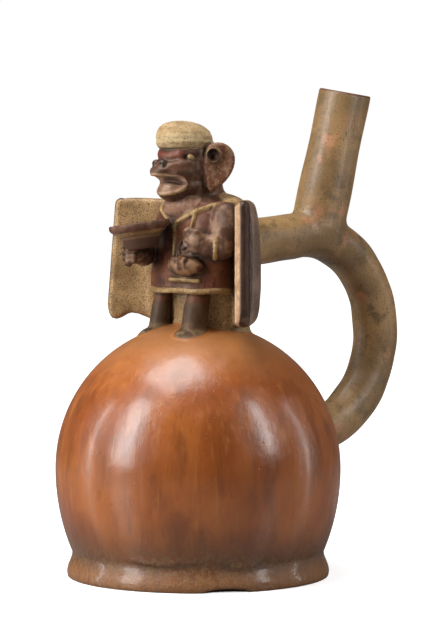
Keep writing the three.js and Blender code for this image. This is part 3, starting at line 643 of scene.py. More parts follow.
def bowl():
    rim, depth, wall, floor = 15.2, 13, 2.6, 3
    profile = [(0, -depth), (7.4, -depth), (8.4, -depth + 2), (9.2, -8.6), (9.9, -6.8), (11.2, -5.6),
               (13, -4.3), (rim - 0.7, -3.2), (rim, -2.2), (rim, -0.6), (rim - 0.5, 0), (rim - 1.6, -0.1),
               (rim - 0.8 - wall, -1.9), (11 - wall * 0.8, -4.8), (9.2 - wall * 0.9, -7.6),
               (4, -depth + floor + 1.4), (0, -depth + floor)]
    return placed(turned(profile, 0.3), bowl_place())


# The figure's head

def curve_through(points, steps=6):
    """A quadratic curve for each (start, bend, end), as points in a plane."""
    found = []
    for start, bend, end in points:
        for i in range(steps):
            t = i / steps
            found.append(tuple((1 - t) ** 2 * a + 2 * t * (1 - t) * b + t * t * c
                               for a, b, c in zip(start, bend, end)))
    return found


def mouth_cut():
    outline = curve_through([((-15.8, 76.6), (-17.4, 79.8), (-21, 80.3)),
                             ((-21, 80.3), (-27, 81), (-34, 81.4))])
    outline += [(-34, 81.4), (-34, 69.6)]
    outline += curve_through([((-25.4, 71.2), (-19, 72.4), (-15.8, 76.6))])
    frame_of_cut = Matrix(((0, 0, 1, -20), (1, 0, 0, 0), (0, 1, 0, 0), (0, 0, 0, 1)))
    return placed(plate(outline, 40, 0.4), frame_of_cut)


def muzzle_ring(half_width, centre_y, half_depth, front_z, corner_z, radius, last=80, steps=24):
    """A rod that bends round the muzzle from one mouth corner to the other."""
    points = []
    for i in range(steps + 1):
        angle = math.radians(-last + 2 * last * i / steps)
        rise = (1 - math.cos(angle)) ** 1.1
        points.append((half_width * math.sin(angle), centre_y - half_depth * math.cos(angle),
                       front_z + (corner_z - front_z) * rise, radius))
    return rod(points)


def add_head(figure):
    skull = [(60, 3, 24, 14), (67, 3, 21.5, 14.6), (69.3, 2.6, 16.6, 13.8), (70.6, 0.6, 13.8, 13.4),
             (74, -1, 13.2, 13.6), (84, -4.6, 14.2, 14.6), (93, -6, 13.6, 14), (98, -7, 12, 12.6)]
    figure.add(stack(skull), 2.0, "face")
    figure.add(ellipsoid((0, -9, 66), (12.4, 8.4, 7)), 2.4, "neck")
    figure.add(ellipsoid((0, -10.8, 75.2), (12.4, 11.4, 6.0), (-4, 0, 0)), 2.4, "face")
    figure.add(ellipsoid((0, -16.4, 73), (8, 6.8, 4.2), (-10, 0, 0)), 2.0, "face")
    figure.add(ellipsoid((0, -12.8, 82.4), (13.2, 12.6, 7.2), (6, 0, 0)), 2.0, "face")
    figure.add(ellipsoid((0, -21.2, 83.4), (7.4, 7.7, 3.6), (8, 0, 0)), 1.6, "face")
    figure.cut(mouth_cut(), 0.7)
    figure.add(ellipsoid((0, -14.2, 73.9), (8.0, 8.0, 2.9), (-10, 0, 0)), 1.2, "tongue")
    figure.add(ellipsoid((0, -17.0, 70.9), (7.3, 5.5, 3.0), (-8, 0, 0)), 2.0, "face")
    figure.add(muzzle_ring(10.4, -11.8, 10.5, 71.6, 76.8, 0.85, 74), 1.1, "lips")
    figure.add(muzzle_ring(8.2, -14.2, 14.0, 81.2, 80.2, 0.65, 72), 0.9, "lips")
    for side in (1, -1):
        brow = [(side * 11.4, -13.2, 91.4, 2.2), (side * 7, -16.8, 91.0, 2.6), (side * 2, -18.8, 90, 2.6)]
        figure.add(rod(brow), 2.4, "brow")
        cheek = [(side * 11.4, -13.8, 86.4, 2.2), (side * 8.4, -18, 86, 2.1), (side * 4, -23, 84.8, 1.6)]
        figure.add(rod(cheek), 1.6, "face")
        figure.cut(ellipsoid((side * 12.6, -15.8, 89.6), (2.6, 3.8, 1.2), (0, 0, side * -40)), 1.0)
        figure.add(ellipsoid((side * 11.5, -14.2, 89.9), (1.6, 1.9, 1.7)), 0.3, "eye")
        figure.add(ellipsoid((side * 2.3, -24.7, 86.4), (2.3, 2.3, 2.1)), 0.7, "nose")
        figure.cut(ellipsoid((side * 2.9, -26.8, 86.3), (0.9, 1.1, 0.8)), 0.4)
        figure.cut(rod([(side * 5.4, -23.4, 87.2, 0.7), (side * 4.6, -25.6, 84.8, 0.6)]), 0.6)


def add_cap(figure):
    levels = [(94.0, -8.3, 13.5, 13.5), (95.0, -8.4, 13.8, 13.8), (97.2, -8.6, 14.0, 14.0),
              (99.8, -9, 13.9, 14.1), (102.4, -9.5, 13.1, 13.2), (104.4, -10.2, 11.4, 11.4),
              (106, -10.9, 9, 9), (107.1, -11.4, 5.6, 5.6), (107.6, -11.6, 2.4, 2.4)]
    figure.add(stack(levels, 2.0, 1.2), 0.5, "cap")
    ring = []
    for i in range(33):
        angle = math.radians(360 * i / 32)
        level = 97.0 + 0.4 * math.sin(angle * 2)
        ring.append((13.7 * math.sin(angle), -8.5 - 13.7 * math.cos(angle), level, 0.4))
    figure.add(rod(ring), 1.4, "cap")


EAR_PLACE = Matrix(((0.72, 0, 0.694, 17.9), (0.694, 0, -0.72, -1.2), (0, 1, 0, 88), (0, 0, 0, 1)))
SPOOL_MIDDLE = (-2.6, 2.6)


def add_ears(figure):
    outline = [(-6.4, 6.4)]
    cubic = [((-6.4, 6.4), (-2, 10.8), (6.6, 9), (7.6, 1.4)),
             ((7.6, 1.4), (8, -5), (3.8, -10.6), (-3.4, -15.6)),
             ((-3.4, -15.6), (-6, -15.6), (-5.4, -10), (-6.8, -6))]
    for points in cubic:
        for i in range(1, 9):
            t = i / 8
            weights = ((1 - t) ** 3, 3 * t * (1 - t) ** 2, 3 * t * t * (1 - t), t ** 3)
            outline.append(tuple(sum(w * point[k] for w, point in zip(weights, points)) for k in (0, 1)))

    def on_ear(x, y, depth):
        return tuple(EAR_PLACE @ Vector((x, y, depth)))

    leaf = plate([(x * 1.03, y * 1.02) for x, y in outline], 3.6, 1.5)
    leaf = placed(leaf, EAR_PLACE @ Matrix.Translation((0, 0, -1)))
    figure.both(leaf, 0.8, "ear")
    dish = placed(ellipsoid((1.4, -1.8, 3.4), (6.2, 9.4, 2.3)), EAR_PLACE)
    figure.both(dish, 0.9, cut=True)
    figure.both(rod([(*on_ear(-6, -1, -1), 3), (*on_ear(-4, -11, -1), 2.4)]), 3.0, "ear")
    figure.both(rod([(*on_ear(*SPOOL_MIDDLE, 0), 4.2), (*on_ear(*SPOOL_MIDDLE, 1.0), 4.2)]), 1.0, "spool")
    hollow = rod([(*on_ear(*SPOOL_MIDDLE, 3.4), 3.0), (*on_ear(*SPOOL_MIDDLE, 9), 3.6)])
    figure.both(hollow, 0.7, cut=True)


def wing_chip():
    return ellipsoid((52.5, -17.5, 6.2), (5.2, 5.5, 4.4), (0, 0, 20))


def shrunk(form, gap):
    return Form(form.low, form.high, lambda x, y, z: form.distance(x, y, z) + gap)


def behind_figure():
    """Everything behind the figure's mesh, where the body's own mesh takes over."""
    return Form((-80, FIGURE_BACK, -60), (80, 140, 120), lambda x, y, z: FIGURE_BACK - y + 0 * x + 0 * z)


def clay_figure():
    figure = Sculpt(FIGURE_VOXEL)
    add_clothes(figure)
    add_pouch(figure)
    add_legs(figure)
    add_left_arm(figure)
    add_right_arm(figure)
    figure.add(bowl(), 0.6, "bowl")
    add_head(figure)
    add_cap(figure)
    add_ears(figure)
    figure.cut(wing_chip(), 0.5)
    down = Matrix.Translation((0, 0, -FOOTING))
    for form, blend, paint in ((chamber(), 3.2, "ground"), (stirrup(), 2.6, "tube")):
        figure.add(shrunk(placed(form, down), SKIN), blend, paint)
    figure.cut(behind_figure(), 0)
    return figure


# Meshes and their paint

def piece_from(name, points, faces, attributes, material, lift=0.0):
    """A mesh object in metres with its paint distances."""
    mesh = bpy.data.meshes.new(name)
    places = (points + np.array((0, 0, lift))) * MM
    mesh.vertices.add(len(places))
    mesh.vertices.foreach_set("co", places.astype(np.float32).ravel())
    mesh.loops.add(faces.size)
    mesh.loops.foreach_set("vertex_index", faces.astype(np.int32).ravel())
    mesh.polygons.add(len(faces))
    mesh.polygons.foreach_set("loop_start", np.arange(0, faces.size, 4, dtype=np.int32))
    mesh.update(calc_edges=True)
    for key, values in attributes.items():
        layer = mesh.attributes.new(key, "FLOAT", "POINT")
        layer.data.foreach_set("value", values.astype(np.float32))
    mesh.polygons.foreach_set("use_smooth", np.ones(len(faces), bool))
    mesh.validate()
    piece = bpy.data.objects.new(name, mesh)
    bpy.context.collection.objects.link(piece)
    mesh.materials.append(material)
    return piece


def outward(points, faces):
    """Faces turned so that the mesh's volume is positive."""
    a, b, c = (points[faces[:, i]] for i in (0, 1, 2))
    a2, c2, d = points[faces[:, 0]], points[faces[:, 2]], points[faces[:, 3]]
    volume = (a * np.cross(b, c)).sum() + (a2 * np.cross(c2, d)).sum()
    return faces if volume > 0 else faces[:, ::-1]


def paints_of(sculpt, points, normals, names):
    """For each paint, how far a vertex is inside its own forms' zone: negative inside."""
    gaps = {name: sculpt.at(*points.T, only=name) for name in names}
    found = {}
    for name in names:
        others = np.min([gaps[other] for other in names if other != name], axis=0)
        found["paint_" + name] = gaps[name] - others
    # hollow: how closed in a vertex is, from the field a little way out along its normal; the materials
    # paint shade with it
    reach = 2.4
    found["hollow"] = 1 - sculpt.at(*(points + normals * reach).T) / reach
    return found


def without_sunk(figure, points, normals, faces):
    """Drops the faces that lie under the vessel's body, which covers them."""
    x, y, z = points.T
    covered = np.min([figure.at(x, y, z, only=name) for name in ("ground", "tube")], axis=0) < SKIN * 0.2
    bare = np.min([figure.at(x, y, z, only=name) for name in ("core", "leg", "mantle")], axis=0) > 4
    gone = (covered & bare)[faces].all(axis=1)
    faces = faces[~gone]
    used, index = np.unique(faces, return_inverse=True)
    return points[used], normals[used], index.reshape(faces.shape)


def make_body(material):
    body = vessel_body()
    points, faces = body.mesh(*BODY_BOX)
    points, normals = body.settled(points)
    faces = outward(points, faces)
    attributes = paints_of(body, points, normals, ["chamber", "arch"])
    attributes["below_mouth"] = above_mouth().distance(*points.T)
    return piece_from("vessel_body", points, faces, attributes, material)


FIGURE_PAINTS = ["core", "mantle", "lip", "tunic", "cream", "strap", "pouch", "leg", "sleeve", "arm",
                 "hand", "nail", "bowl", "face", "neck", "tongue", "lips", "brow", "eye", "nose", "cap",
                 "ear", "spool", "ground", "tube"]


def make_figure(material):
    figure = clay_figure()
    points, faces = figure.mesh(*FIGURE_BOX)
    points, normals = figure.settled(points)
    points, normals, faces = without_sunk(figure, points, normals, faces)
    faces = outward(points, faces)
    attributes = paints_of(figure, points, normals, FIGURE_PAINTS)
    x, y, z = points.T
    reach, depth, run, *_ = wing_frame(x, y, z)
    attributes["wing_reach"] = run - reach
    attributes["wing_depth"] = depth
    attributes["in_mouth"] = mouth_cut().distance(x, y, z)
    bowl_x, bowl_y, bowl_z = local_to(bowl_place(), x, y, z)
    ear_x, ear_y, ear_z = local_to(EAR_PLACE, np.abs(x), y, z)
    off_spool = np.hypot(ear_x - SPOOL_MIDDLE[0], ear_y - SPOOL_MIDDLE[1])
    attributes["spool_radius"] = np.where(np.abs(ear_z) < 8, off_spool, 99)
    attributes["bowl_level"] = bowl_z
    attributes["bowl_radius"] = np.hypot(bowl_x, bowl_y)
    return piece_from("clay_figure", points, faces, attributes, material, FOOTING)


# Materials

class Look:
    """Builds a node material step by step."""

    def __init__(self, name):
        self.material = bpy.data.materials.new(name)
        self.material.use_nodes = True
        self.tree = self.material.node_tree
        self.tree.nodes.clear()
        self.output = self.node("OutputMaterial")
        self.shader = self.node("BsdfPrincipled")
        self.tree.links.new(self.shader.outputs[0], self.output.inputs[0])
        self.position = self.node("TexCoord").outputs["Object"]

    def node(self, kind):
        return self.tree.nodes.new("ShaderNode" + kind)

    def set(self, socket, value):
        """Links a socket, or sets its constant."""
        if isinstance(value, bpy.types.NodeSocket):
            self.tree.links.new(value, socket)
        elif isinstance(value, (tuple, list)) and len(value) == 3 and socket.type == "RGBA":
            socket.default_value = (*value, 1)
        else:
            socket.default_value = value

    def math(self, operation, a, b=0.0, c=0.0):
        node = self.node("Math")
        node.operation = operation
        for socket, value in zip(node.inputs, (a, b, c)):
            self.set(socket, value)
        return node.outputs[0]

    def less(self, a, b):
        return self.math("SUBTRACT", a, b)

    def times(self, a, b):
        return self.math("MULTIPLY", a, b)

    def plus(self, a, b):
        return self.math("ADD", a, b)

    def larger(self, a, b):
        return self.math("MAXIMUM", a, b)

    def band(self, value, low, high, to_low=0.0, to_high=1.0):
        """A smooth step from one value to another."""
        node = self.node("MapRange")
        node.interpolation_type = "SMOOTHSTEP"
        for key, given in (("Value", value), ("From Min", low), ("From Max", high), ("To Min", to_low),
                           ("To Max", to_high)):
            self.set(node.inputs[key], given)
        return node.outputs[0]

    def scaled(self, scales, shift):
        """The object's own coordinates, scaled and shifted."""
        node = self.node("Mapping")
        self.set(node.inputs["Vector"], self.position)
        node.inputs["Scale"].default_value = scales
        node.inputs["Location"].default_value = shift
        return node.outputs[0]

    def noise(self, size_mm, detail=3.0, roughness=0.55, stretch=(1, 1, 1), offset=0.0):
        """Noise whose features are about size_mm across."""
        scales = [1000 / size_mm / value for value in stretch]
        node = self.node("TexNoise")
        self.set(node.inputs["Vector"], self.scaled(scales, (offset, offset * 0.7, offset * 1.3)))
        node.inputs["Scale"].default_value = 1.0
        node.inputs["Detail"].default_value = detail
        node.inputs["Roughness"].default_value = roughness
        return node.outputs[0]

    def cells(self, size_mm, offset=0.0):
        """Distance to the nearest of many scattered points, about size_mm apart."""
        node = self.node("TexVoronoi")
        self.set(node.inputs["Vector"], self.scaled([1000 / size_mm] * 3, (offset, offset, offset)))
        node.inputs["Scale"].default_value = 1.0
        return node.outputs["Distance"]

    def part(self, name):
        node = self.node("Attribute")
        node.attribute_name = name
        return node.outputs["Fac"]

    def blend(self, under, over, share, kind="FLOAT", first=2, result=0):
        """A mix of two plain values."""
        node = self.node("Mix")
        node.data_type = kind
        for socket, value in zip((node.inputs[0], *node.inputs[first:first + 2]), (share, under, over)):
            self.set(socket, value)
        return node.outputs[result]

    def mix(self, under, over, share):
        """A mix of two colours."""
        return self.blend(under, over, share, "RGBA", 6, 2)

    def coats(self, colour, *coats):
        """A colour under further ones, each given with the share that it covers."""
        for over, share in coats:
            colour = self.mix(colour, over, share)
        return colour

    def axis(self, index):
        node = self.node("SeparateXYZ")
        self.set(node.inputs[0], self.position)
        return self.math("MULTIPLY", node.outputs[index], 1000.0)

    def bump(self, height, distance_mm, strength=1.0, under=None):
        node = self.node("Bump")
        self.set(node.inputs["Height"], height)
        node.inputs["Strength"].default_value = strength
        node.inputs["Distance"].default_value = distance_mm * MM
        if under is not None:
            self.set(node.inputs["Normal"], under)
        return node.outputs[0]

    def finish(self, colour, roughness, normal, coat=0.0, specular=0.5):
        self.set(self.shader.inputs["Base Color"], colour)
        self.set(self.shader.inputs["Specular IOR Level"], specular)
        self.set(self.shader.inputs["Roughness"], roughness)
        self.set(self.shader.inputs["Normal"], normal)
        self.set(self.shader.inputs["Coat Weight"], coat)
        self.shader.inputs["Coat Roughness"].default_value = 0.16
        return self.material


def speckle(look, size_mm, low, high, offset=0.0, detail=4.0):
    """Scattered dark grains: a share from 0 to 1."""
    return look.band(look.noise(size_mm, detail, 0.7, offset=offset), low, high)


def chamber_paint(look):
    """The chamber's colour and roughness: burnished orange slip, paler above, with painted shade towards
    the bottom, crusted near the foot.
    """
    band, noise, blend = look.band, look.noise, look.blend
    times, plus, larger = look.times, look.plus, look.larger
    level = look.axis(2)
    broad = noise(46, 3, offset=3.1)
    patch = noise(17, 4, offset=8.2)
    streak = noise(4.5, 3, 0.6, stretch=(1, 1, 14), offset=1.7)

    shade = noise(15, 4, stretch=(1, 1, 2.4), offset=6.4)
    top = band(plus(level, times(patch, 14.0)), 104, 132)
    # Painted shade: the slip darkens towards the bottom of the chamber
    low = band(plus(level, times(broad, 16.0)), 48, 18)
    crust_zone = band(plus(level, times(patch, -26.0)), 12, -2)
    crust = times(crust_zone, speckle(look, 2.4, 0.44, 0.6, 2.2))
    sandy = times(band(level, 13, 5), band(streak, 0.3, 0.6, 0.4, 0.8))
    freckle = speckle(look, 1.3, 0.63, 0.7, 6.6)
    scar = band(noise(7, 4, 0.7, stretch=(1, 1, 3), offset=9.4), 0.68, 0.74)
    colour = look.coats(
        (0.245, 0.058, 0.008),
        ((0.34, 0.097, 0.016), band(broad, 0.36, 0.66)),
        ((0.15, 0.037, 0.005), band(shade, 0.46, 0.68, 0.0, 0.7)),
        ((0.42, 0.15, 0.034), band(streak, 0.54, 0.76, 0.0, 0.45)),
        ((0.15, 0.042, 0.008), band(streak, 0.46, 0.28, 0.0, 0.45)),
        ((0.40, 0.165, 0.052), times(top, 0.8)),
        ((0.088, 0.028, 0.005), times(low, 0.85)),
        ((0.17, 0.10, 0.036), times(crust, 0.75)),
        ((0.27, 0.108, 0.030), sandy),
        ((0.08, 0.035, 0.014), times(freckle, 0.6)),
        ((0.10, 0.055, 0.025), times(scar, 0.55)))

    shine = blend(0.27, 0.40, band(patch, 0.35, 0.7))
    shine = blend(shine, 0.34, band(streak, 0.5, 0.7))
    shine = blend(shine, 0.62, larger(crust, times(low, 0.5)))
    shine = blend(shine, 0.55, times(top, 0.6))
    return colour, shine, streak, crust


def tube_paint(look):
    """The tube's colour and roughness: unslipped tan, with olive and pink patches and dark grains."""
    band, noise = look.band, look.noise
    broad = noise(46, 3, offset=3.1)
    grain = look.larger(speckle(look, 0.85, 0.56, 0.66, 1.1), speckle(look, 1.7, 0.62, 0.7, 3.3))
    tan = look.coats(
        (0.21, 0.118, 0.043),
        ((0.36, 0.21, 0.082), band(broad, 0.4, 0.62)),
        ((0.115, 0.068, 0.023), band(noise(11, 5, 0.65, offset=4.4), 0.5, 0.66, 0.0, 0.75)),
        ((0.42, 0.195, 0.09), band(noise(15, 3, offset=7.7), 0.54, 0.66, 0.0, 0.8)),
        ((0.13, 0.078, 0.028), band(look.axis(2), 216, 242, 0.0, 0.65)),
        ((0.035, 0.022, 0.012), look.times(grain, 0.8)))
    return tan, look.blend(0.44, 0.75, grain)


def body_look():
    look = Look("burnished clay")
    band, noise, part = look.band, look.noise, look.part
    blend, times, plus = look.blend, look.times, look.plus
    colour, shine, streak, crust = chamber_paint(look)
    tan, tan_shine = tube_paint(look)
    ragged = times(look.less(noise(17, 4, offset=8.2), 0.5), 7.0)
    on_arch = band(plus(part("paint_arch"), ragged), 1.2, -1.2)
    lip = band(part("below_mouth"), 1.3, 0.7)
    # Painted shade: the colour darkens in hollows and where the tube and spout join the chamber
    hollow_shade = band(part("hollow"), 0.12, 0.6)
    colour = look.coats(colour, (tan, on_arch), ((0.085, 0.022, 0.012), times(lip, 0.75)),
                        ((0.05, 0.03, 0.015), times(hollow_shade, 0.7)))
    shine = blend(shine, tan_shine, on_arch)

    normal = look.bump(streak, 0.35, 0.5)
    normal = look.bump(noise(9, 3, offset=2.9), 0.8, 0.35, normal)
    pits = band(look.cells(5.5, 2.0), 0.12, 0.0)
    normal = look.bump(times(pits, -1.0), 0.3, 0.6, normal)
    fine = noise(0.9, 3, 0.7, offset=5.5)
    normal = look.bump(plus(crust, times(fine, 0.3)), 0.25, 0.5, normal)
    return look.finish(colour, shine, normal, blend(0.3, 0.05, on_arch))


def figure_look():
    look = Look("painted clay")
    mix, band, noise, part, coats = look.mix, look.band, look.noise, look.part, look.coats
    times, plus, less, larger = look.times, look.plus, look.less, look.larger
    level = look.axis(2)
    broad = noise(14, 3, offset=1.3)
    patch = noise(5, 4, offset=6.1)
    fine = noise(0.9, 3, 0.7, offset=2.5)
    grain = larger(speckle(look, 0.8, 0.55, 0.66, 7.1), speckle(look, 1.6, 0.6, 0.7, 8.3))
    wobble = times(less(patch, 0.5), 1.6)

    def zone(name, soft=0.35):
        return band(plus(part("paint_" + name), wobble), soft, -soft)

    # Tones
    black = (0.030, 0.019, 0.014)
    umber = mix((0.032, 0.013, 0.009), (0.058, 0.022, 0.014), band(patch, 0.4, 0.65))
    slate = mix((0.14, 0.085, 0.06), (0.23, 0.145, 0.105), band(broad, 0.4, 0.6))
    rose = mix((0.36, 0.20, 0.11), (0.54, 0.34, 0.20), band(patch, 0.4, 0.6))
    maroon = coats(
        (0.048, 0.019, 0.011),
        ((0.085, 0.032, 0.017), band(broad, 0.4, 0.62)),
        ((0.15, 0.078, 0.043), band(patch, 0.56, 0.72, 0.0, 0.5)))
    cream = coats(
        (0.25, 0.145, 0.055),
        ((0.40, 0.26, 0.115), band(patch, 0.4, 0.6)),
        ((0.10, 0.055, 0.03), times(grain, 0.75)))
    worn_cap = noise(8, 4, 0.65, stretch=(1, 1, 0.5), offset=4.9)
    pale = coats(
        (0.36, 0.24, 0.11),
        ((0.50, 0.37, 0.20), band(patch, 0.4, 0.6)),
        ((0.13, 0.085, 0.045), times(grain, 0.6)),
        ((0.23, 0.14, 0.062), band(worn_cap, 0.5, 0.64, 0.0, 0.65)))
    buff = coats(
        (0.23, 0.135, 0.053),
        ((0.40, 0.245, 0.11), band(broad, 0.38, 0.64)),
        ((0.045, 0.03, 0.018), times(grain, 0.9)),
        ((0.06, 0.038, 0.02), times(speckle(look, 0.7, 0.5, 0.62, 4.8), 0.75)))

    # The mantle: its back, its near edge and its rim
    on_mantle = zone("mantle", 0.5)
    wing_depth, wing_reach = part("wing_depth"), part("wing_reach")
    outer = times(on_mantle, larger(band(wing_depth, 5.4, 6.4), band(look.axis(1), 7.5, 9.5)))
    near_edge = times(band(wing_reach, 7.2, 6.4), band(look.axis(0), -2, 2))
    near_edge = times(near_edge, band(wing_depth, 1.4, 0.6))
    rim = times(band(wing_reach, 5.4, 4.4), band(wing_depth, 0.6, 1.6))

    # The tunic, with the short strokes above its hem
    ribs = look.math("PINGPONG", look.axis(0), 1.5)
    stroke = times(band(ribs, 0.45, 0.15), band(level, 151.5, 148))
    stroke = times(stroke, band(level, 144, 146))
    red = coats(
        (0.082, 0.024, 0.012),
        ((0.15, 0.045, 0.022), band(broad, 0.4, 0.65)),
        ((0.042, 0.018, 0.01), band(patch, 0.54, 0.7, 0.0, 0.7)),
        ((0.22, 0.11, 0.05), times(speckle(look, 2.2, 0.56, 0.68, 3.9), 0.5)),
        ((0.03, 0.016, 0.01), times(stroke, band(patch, 0.38, 0.5, 0.2, 0.9))))
    pouch = mix(maroon, (0.24, 0.12, 0.055), band(patch, 0.38, 0.6))

    # Limbs
    # Sleeves and forearms: maroon with pale patches, partly wear and partly painted highlight
    skin_wear_and_highlight = mix(maroon, (0.27, 0.155, 0.10), band(noise(8, 4, 0.6, offset=5.1), 0.44, 0.64, 0.1, 0.9))
    skin = mix(maroon, (0.27, 0.16, 0.10), band(patch, 0.4, 0.62, 0.15, 0.9))
    dark_leg = coats(
        (0.048, 0.026, 0.013),
        ((0.10, 0.053, 0.027), band(broad, 0.4, 0.62)),
        ((0.13, 0.042, 0.021), band(level, 136, 141)),
        ((0.19, 0.12, 0.06), times(band(level, 129, 122), band(patch, 0.42, 0.58))))

    # The bowl: darker below, with a pale line round it and a pale inside
    bowl_level = part("bowl_level")
    bowl_clay = mix((0.075, 0.032, 0.019), (0.17, 0.082, 0.05), band(patch, 0.4, 0.66))
    stripe = times(band(bowl_level, -7.9, -7.4), band(bowl_level, -6.1, -6.7))
    inside = times(band(part("bowl_radius"), 13.4, 12.6), band(bowl_level, -6.5, -5.5))
    bowl_colour = coats(
        (0.065, 0.027, 0.015),
        (bowl_clay, band(bowl_level, -9.5, -5.5)),
        ((0.17, 0.10, 0.052), times(stripe, 0.8)),
        (buff, inside))

    # The head
    face = mix(maroon, (0.16, 0.082, 0.053), band(noise(6, 4, 0.6, offset=1.9), 0.46, 0.66, 0.0, 0.8))
    throat = mix(maroon, (0.36, 0.20, 0.135), band(patch, 0.34, 0.58, 0.4, 0.95))
    brow = mix((0.14, 0.036, 0.021), (0.055, 0.022, 0.014), band(look.axis(1), -18.9, -17.0))
    nose = mix(black, (0.10, 0.03, 0.02), band(patch, 0.45, 0.6))
    ear = coats(
        (0.11, 0.036, 0.019),
        ((0.19, 0.10, 0.052), band(patch, 0.48, 0.66)),
        ((0.34, 0.21, 0.11), times(speckle(look, 1.1, 0.54, 0.64, 9.2), 0.7)))
    spool = mix(cream, maroon, band(patch, 0.42, 0.58, 0.15, 0.95))
    spool_hollow = band(part("spool_radius"), 3.5, 2.9)
    hollow = part("hollow")
    in_mouth = times(band(part("in_mouth"), 0.55, 0.2), band(look.axis(1), -14.5, -17))
    in_mouth = times(in_mouth, less(1.0, zone("bowl")))
    # The mouth's inside: pink with paler patches, and painted shade that darkens it deeper in
    inside_mouth = coats(
        (0.30, 0.16, 0.10),
        ((0.52, 0.34, 0.23), band(patch, 0.38, 0.6)),
        ((0.07, 0.03, 0.02), band(hollow, 0.3, 0.75, 0.0, 0.8)))

    # Painted shade in hollows, wear on edges, and the tube and chamber that the figure joins
    bare_clay = larger(on_mantle, zone("core", 0.6))
    # Painted shade: darker colour in hollows, weaker on the bare clay of the mantle and core
    hollow_shade = times(band(hollow, 0.2, 0.7), look.blend(1.0, 0.15, bare_clay))
    worn = times(band(hollow, -0.04, -0.45), band(patch, 0.46, 0.6))
    tan, tan_shine = tube_paint(look)
    ground, ground_shine, *_ = chamber_paint(look)
    on_ground, on_tube = zone("ground", 0.9), zone("tube", 0.8)

    colour = coats(
        maroon, (buff, zone("core", 0.6)), (buff, on_mantle), (slate, outer),
        (rose, times(near_edge, on_mantle)), (umber, times(rim, on_mantle)), (rose, zone("lip")),
        (red, zone("tunic")), (skin_wear_and_highlight, zone("sleeve")), (skin_wear_and_highlight, zone("arm")), (skin, zone("hand")),
        (black, times(zone("nail", 0.2), 0.9)), (pouch, zone("pouch")), (cream, zone("cream", 0.25)),
        (maroon, zone("strap", 0.25)), (dark_leg, zone("leg")), (bowl_colour, zone("bowl")),
        (face, zone("face")), (throat, zone("neck")), ((0.42, 0.24, 0.16), zone("tongue")),
        (cream, zone("lips", 0.25)), (brow, zone("brow")), (nose, zone("nose")), (pale, zone("eye", 0.2)),
        (pale, zone("cap")), (ear, zone("ear")), (spool, zone("spool")), (umber, spool_hollow),
        (tan, on_tube), ((0.035, 0.022, 0.015), times(hollow_shade, 0.7)), (inside_mouth, times(in_mouth, 0.85)),
        ((0.20, 0.115, 0.065), times(worn, 0.4)), ((0.03, 0.018, 0.011), times(grain, 0.4)),
        (ground, on_ground))

    shine = look.blend(0.34, 0.5, band(patch, 0.35, 0.7))
    for roughness, share in ((0.27, outer), (0.62, zone("cap")), (0.6, larger(zone("leg"), zone("bowl"))),
                             (0.7, times(grain, 0.7)), (ground_shine, on_ground), (tan_shine, on_tube)):
        shine = look.blend(shine, roughness, share)
    look.shader.inputs["Specular Tint"].default_value = (1.0, 0.80, 0.64, 1)
    normal = look.bump(patch, 0.4, 0.35)
    normal = look.bump(less(fine, times(grain, 0.5)), 0.16, 0.6, normal)
    return look.finish(colour, shine, normal, 0.04, 0.38)


# The setting: a plain pale floor, soft light from both sides and above, and the photograph's camera

def make_floor():
    mesh = bpy.data.meshes.new("floor")
    half = 3.0
    corners = [(-half, -half, 0), (half, -half, 0), (half, half, 0), (-half, half, 0)]
    mesh.from_pydata(corners, [], [(0, 1, 2, 3)])
    floor = bpy.data.objects.new("floor", mesh)
    bpy.context.collection.objects.link(floor)
    look = Look("floor")
    seen = look.node("LightPath").outputs["Is Camera Ray"]
    look.set(look.shader.inputs["Base Color"], look.mix((0.3, 0.3, 0.3), (0.9, 0.9, 0.9), seen))
    look.set(look.shader.inputs["Roughness"], 0.25)
    look.set(look.shader.inputs["Emission Color"], (1, 1, 1))
    across = look.math("POWER", look.axis(0), 2.0)
    away = look.math("SQRT", look.plus(across, look.math("POWER", look.axis(1), 2.0)))
    glow = look.band(away, 70, 260, 0.72, 1.1)
    look.set(look.shader.inputs["Emission Strength"], look.times(seen, glow))
    mesh.materials.append(look.material)


def make_light(name, place, aim, width, height, power):
    data = bpy.data.lights.new(name, "AREA")
    data.shape = "RECTANGLE"
    data.size = width
    data.size_y = height
    data.energy = power
    light = bpy.data.objects.new(name, data)
    bpy.context.collection.objects.link(light)
    light.location = place
    light.rotation_euler = (Vector(aim) - Vector(place)).to_track_quat("-Z", "Y").to_euler()


# Lengths in metres, powers in watts
VIEW_BEARING = 50
CAMERA_PLACE = (1.14907, -0.96418, 0.216)
CAMERA_AIM = (0.00498, 0.00594, 0.1282)
CAMERA_LENS_MM = 169
CAMERA_SENSOR_MM = 36
WORLD_FILL = 0.1
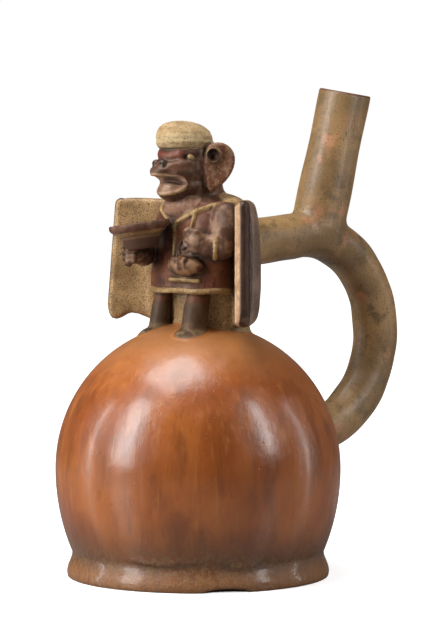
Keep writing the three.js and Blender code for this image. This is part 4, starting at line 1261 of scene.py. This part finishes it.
# Each light's name, its place to the camera's right, towards it and up, then its aim, size and power
LIGHTS = [
    ("left softbox", (-0.85, 0.45, 0.55), (0, 0, 0.13), 0.3, 0.9, 12),
    ("right softbox", (0.8, 0.45, 0.6), (0, 0.02, 0.13), 0.14, 0.7, 4.2),
    ("left strip", (-1.05, -0.1, 0.36), (0, 0, 0.1), 0.06, 0.8, 2.6),
    ("right strip", (1.05, -0.12, 0.34), (0, 0, 0.1), 0.045, 0.8, 1.5),
    ("overhead", (-0.25, 0.1, 1.1), (0, 0, 0.12), 0.6, 0.6, 11)]


def from_camera(side, towards, height):
    """A place given by metres to the camera's right, metres towards it, and height."""
    angle = math.radians(VIEW_BEARING)
    right = Vector((math.cos(angle), math.sin(angle), 0))
    near = Vector((math.sin(angle), -math.cos(angle), 0))
    return tuple(right * side + near * towards + Vector((0, 0, height)))


def make_setting():
    bpy.context.scene.view_settings.view_transform = "Standard"
    make_floor()
    for name, place, *rest in LIGHTS:
        make_light(name, from_camera(*place), *rest)
    world = bpy.data.worlds.new("studio")
    world.use_nodes = True
    nodes, links = world.node_tree.nodes, world.node_tree.links
    seen = nodes.new("ShaderNodeLightPath")
    strength = nodes.new("ShaderNodeMapRange")
    strength.inputs["To Min"].default_value = WORLD_FILL
    strength.inputs["To Max"].default_value = 1.0
    links.new(seen.outputs["Is Camera Ray"], strength.inputs["Value"])
    links.new(strength.outputs[0], nodes["Background"].inputs[1])
    nodes["Background"].inputs[0].default_value = (1, 1, 1, 1)
    bpy.context.scene.world = world
    data = bpy.data.cameras.new("camera")
    data.sensor_fit = "VERTICAL"
    data.sensor_height = CAMERA_SENSOR_MM
    data.lens = CAMERA_LENS_MM
    camera = bpy.data.objects.new("camera", data)
    bpy.context.collection.objects.link(camera)
    camera.location = CAMERA_PLACE
    aim = Vector(CAMERA_AIM) - Vector(CAMERA_PLACE)
    camera.rotation_euler = aim.to_track_quat("-Z", "Y").to_euler()
    bpy.context.scene.camera = camera


make_setting()
for piece in (make_body(body_look()), make_figure(figure_look())):
    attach(piece, "root")
    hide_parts("vessel")
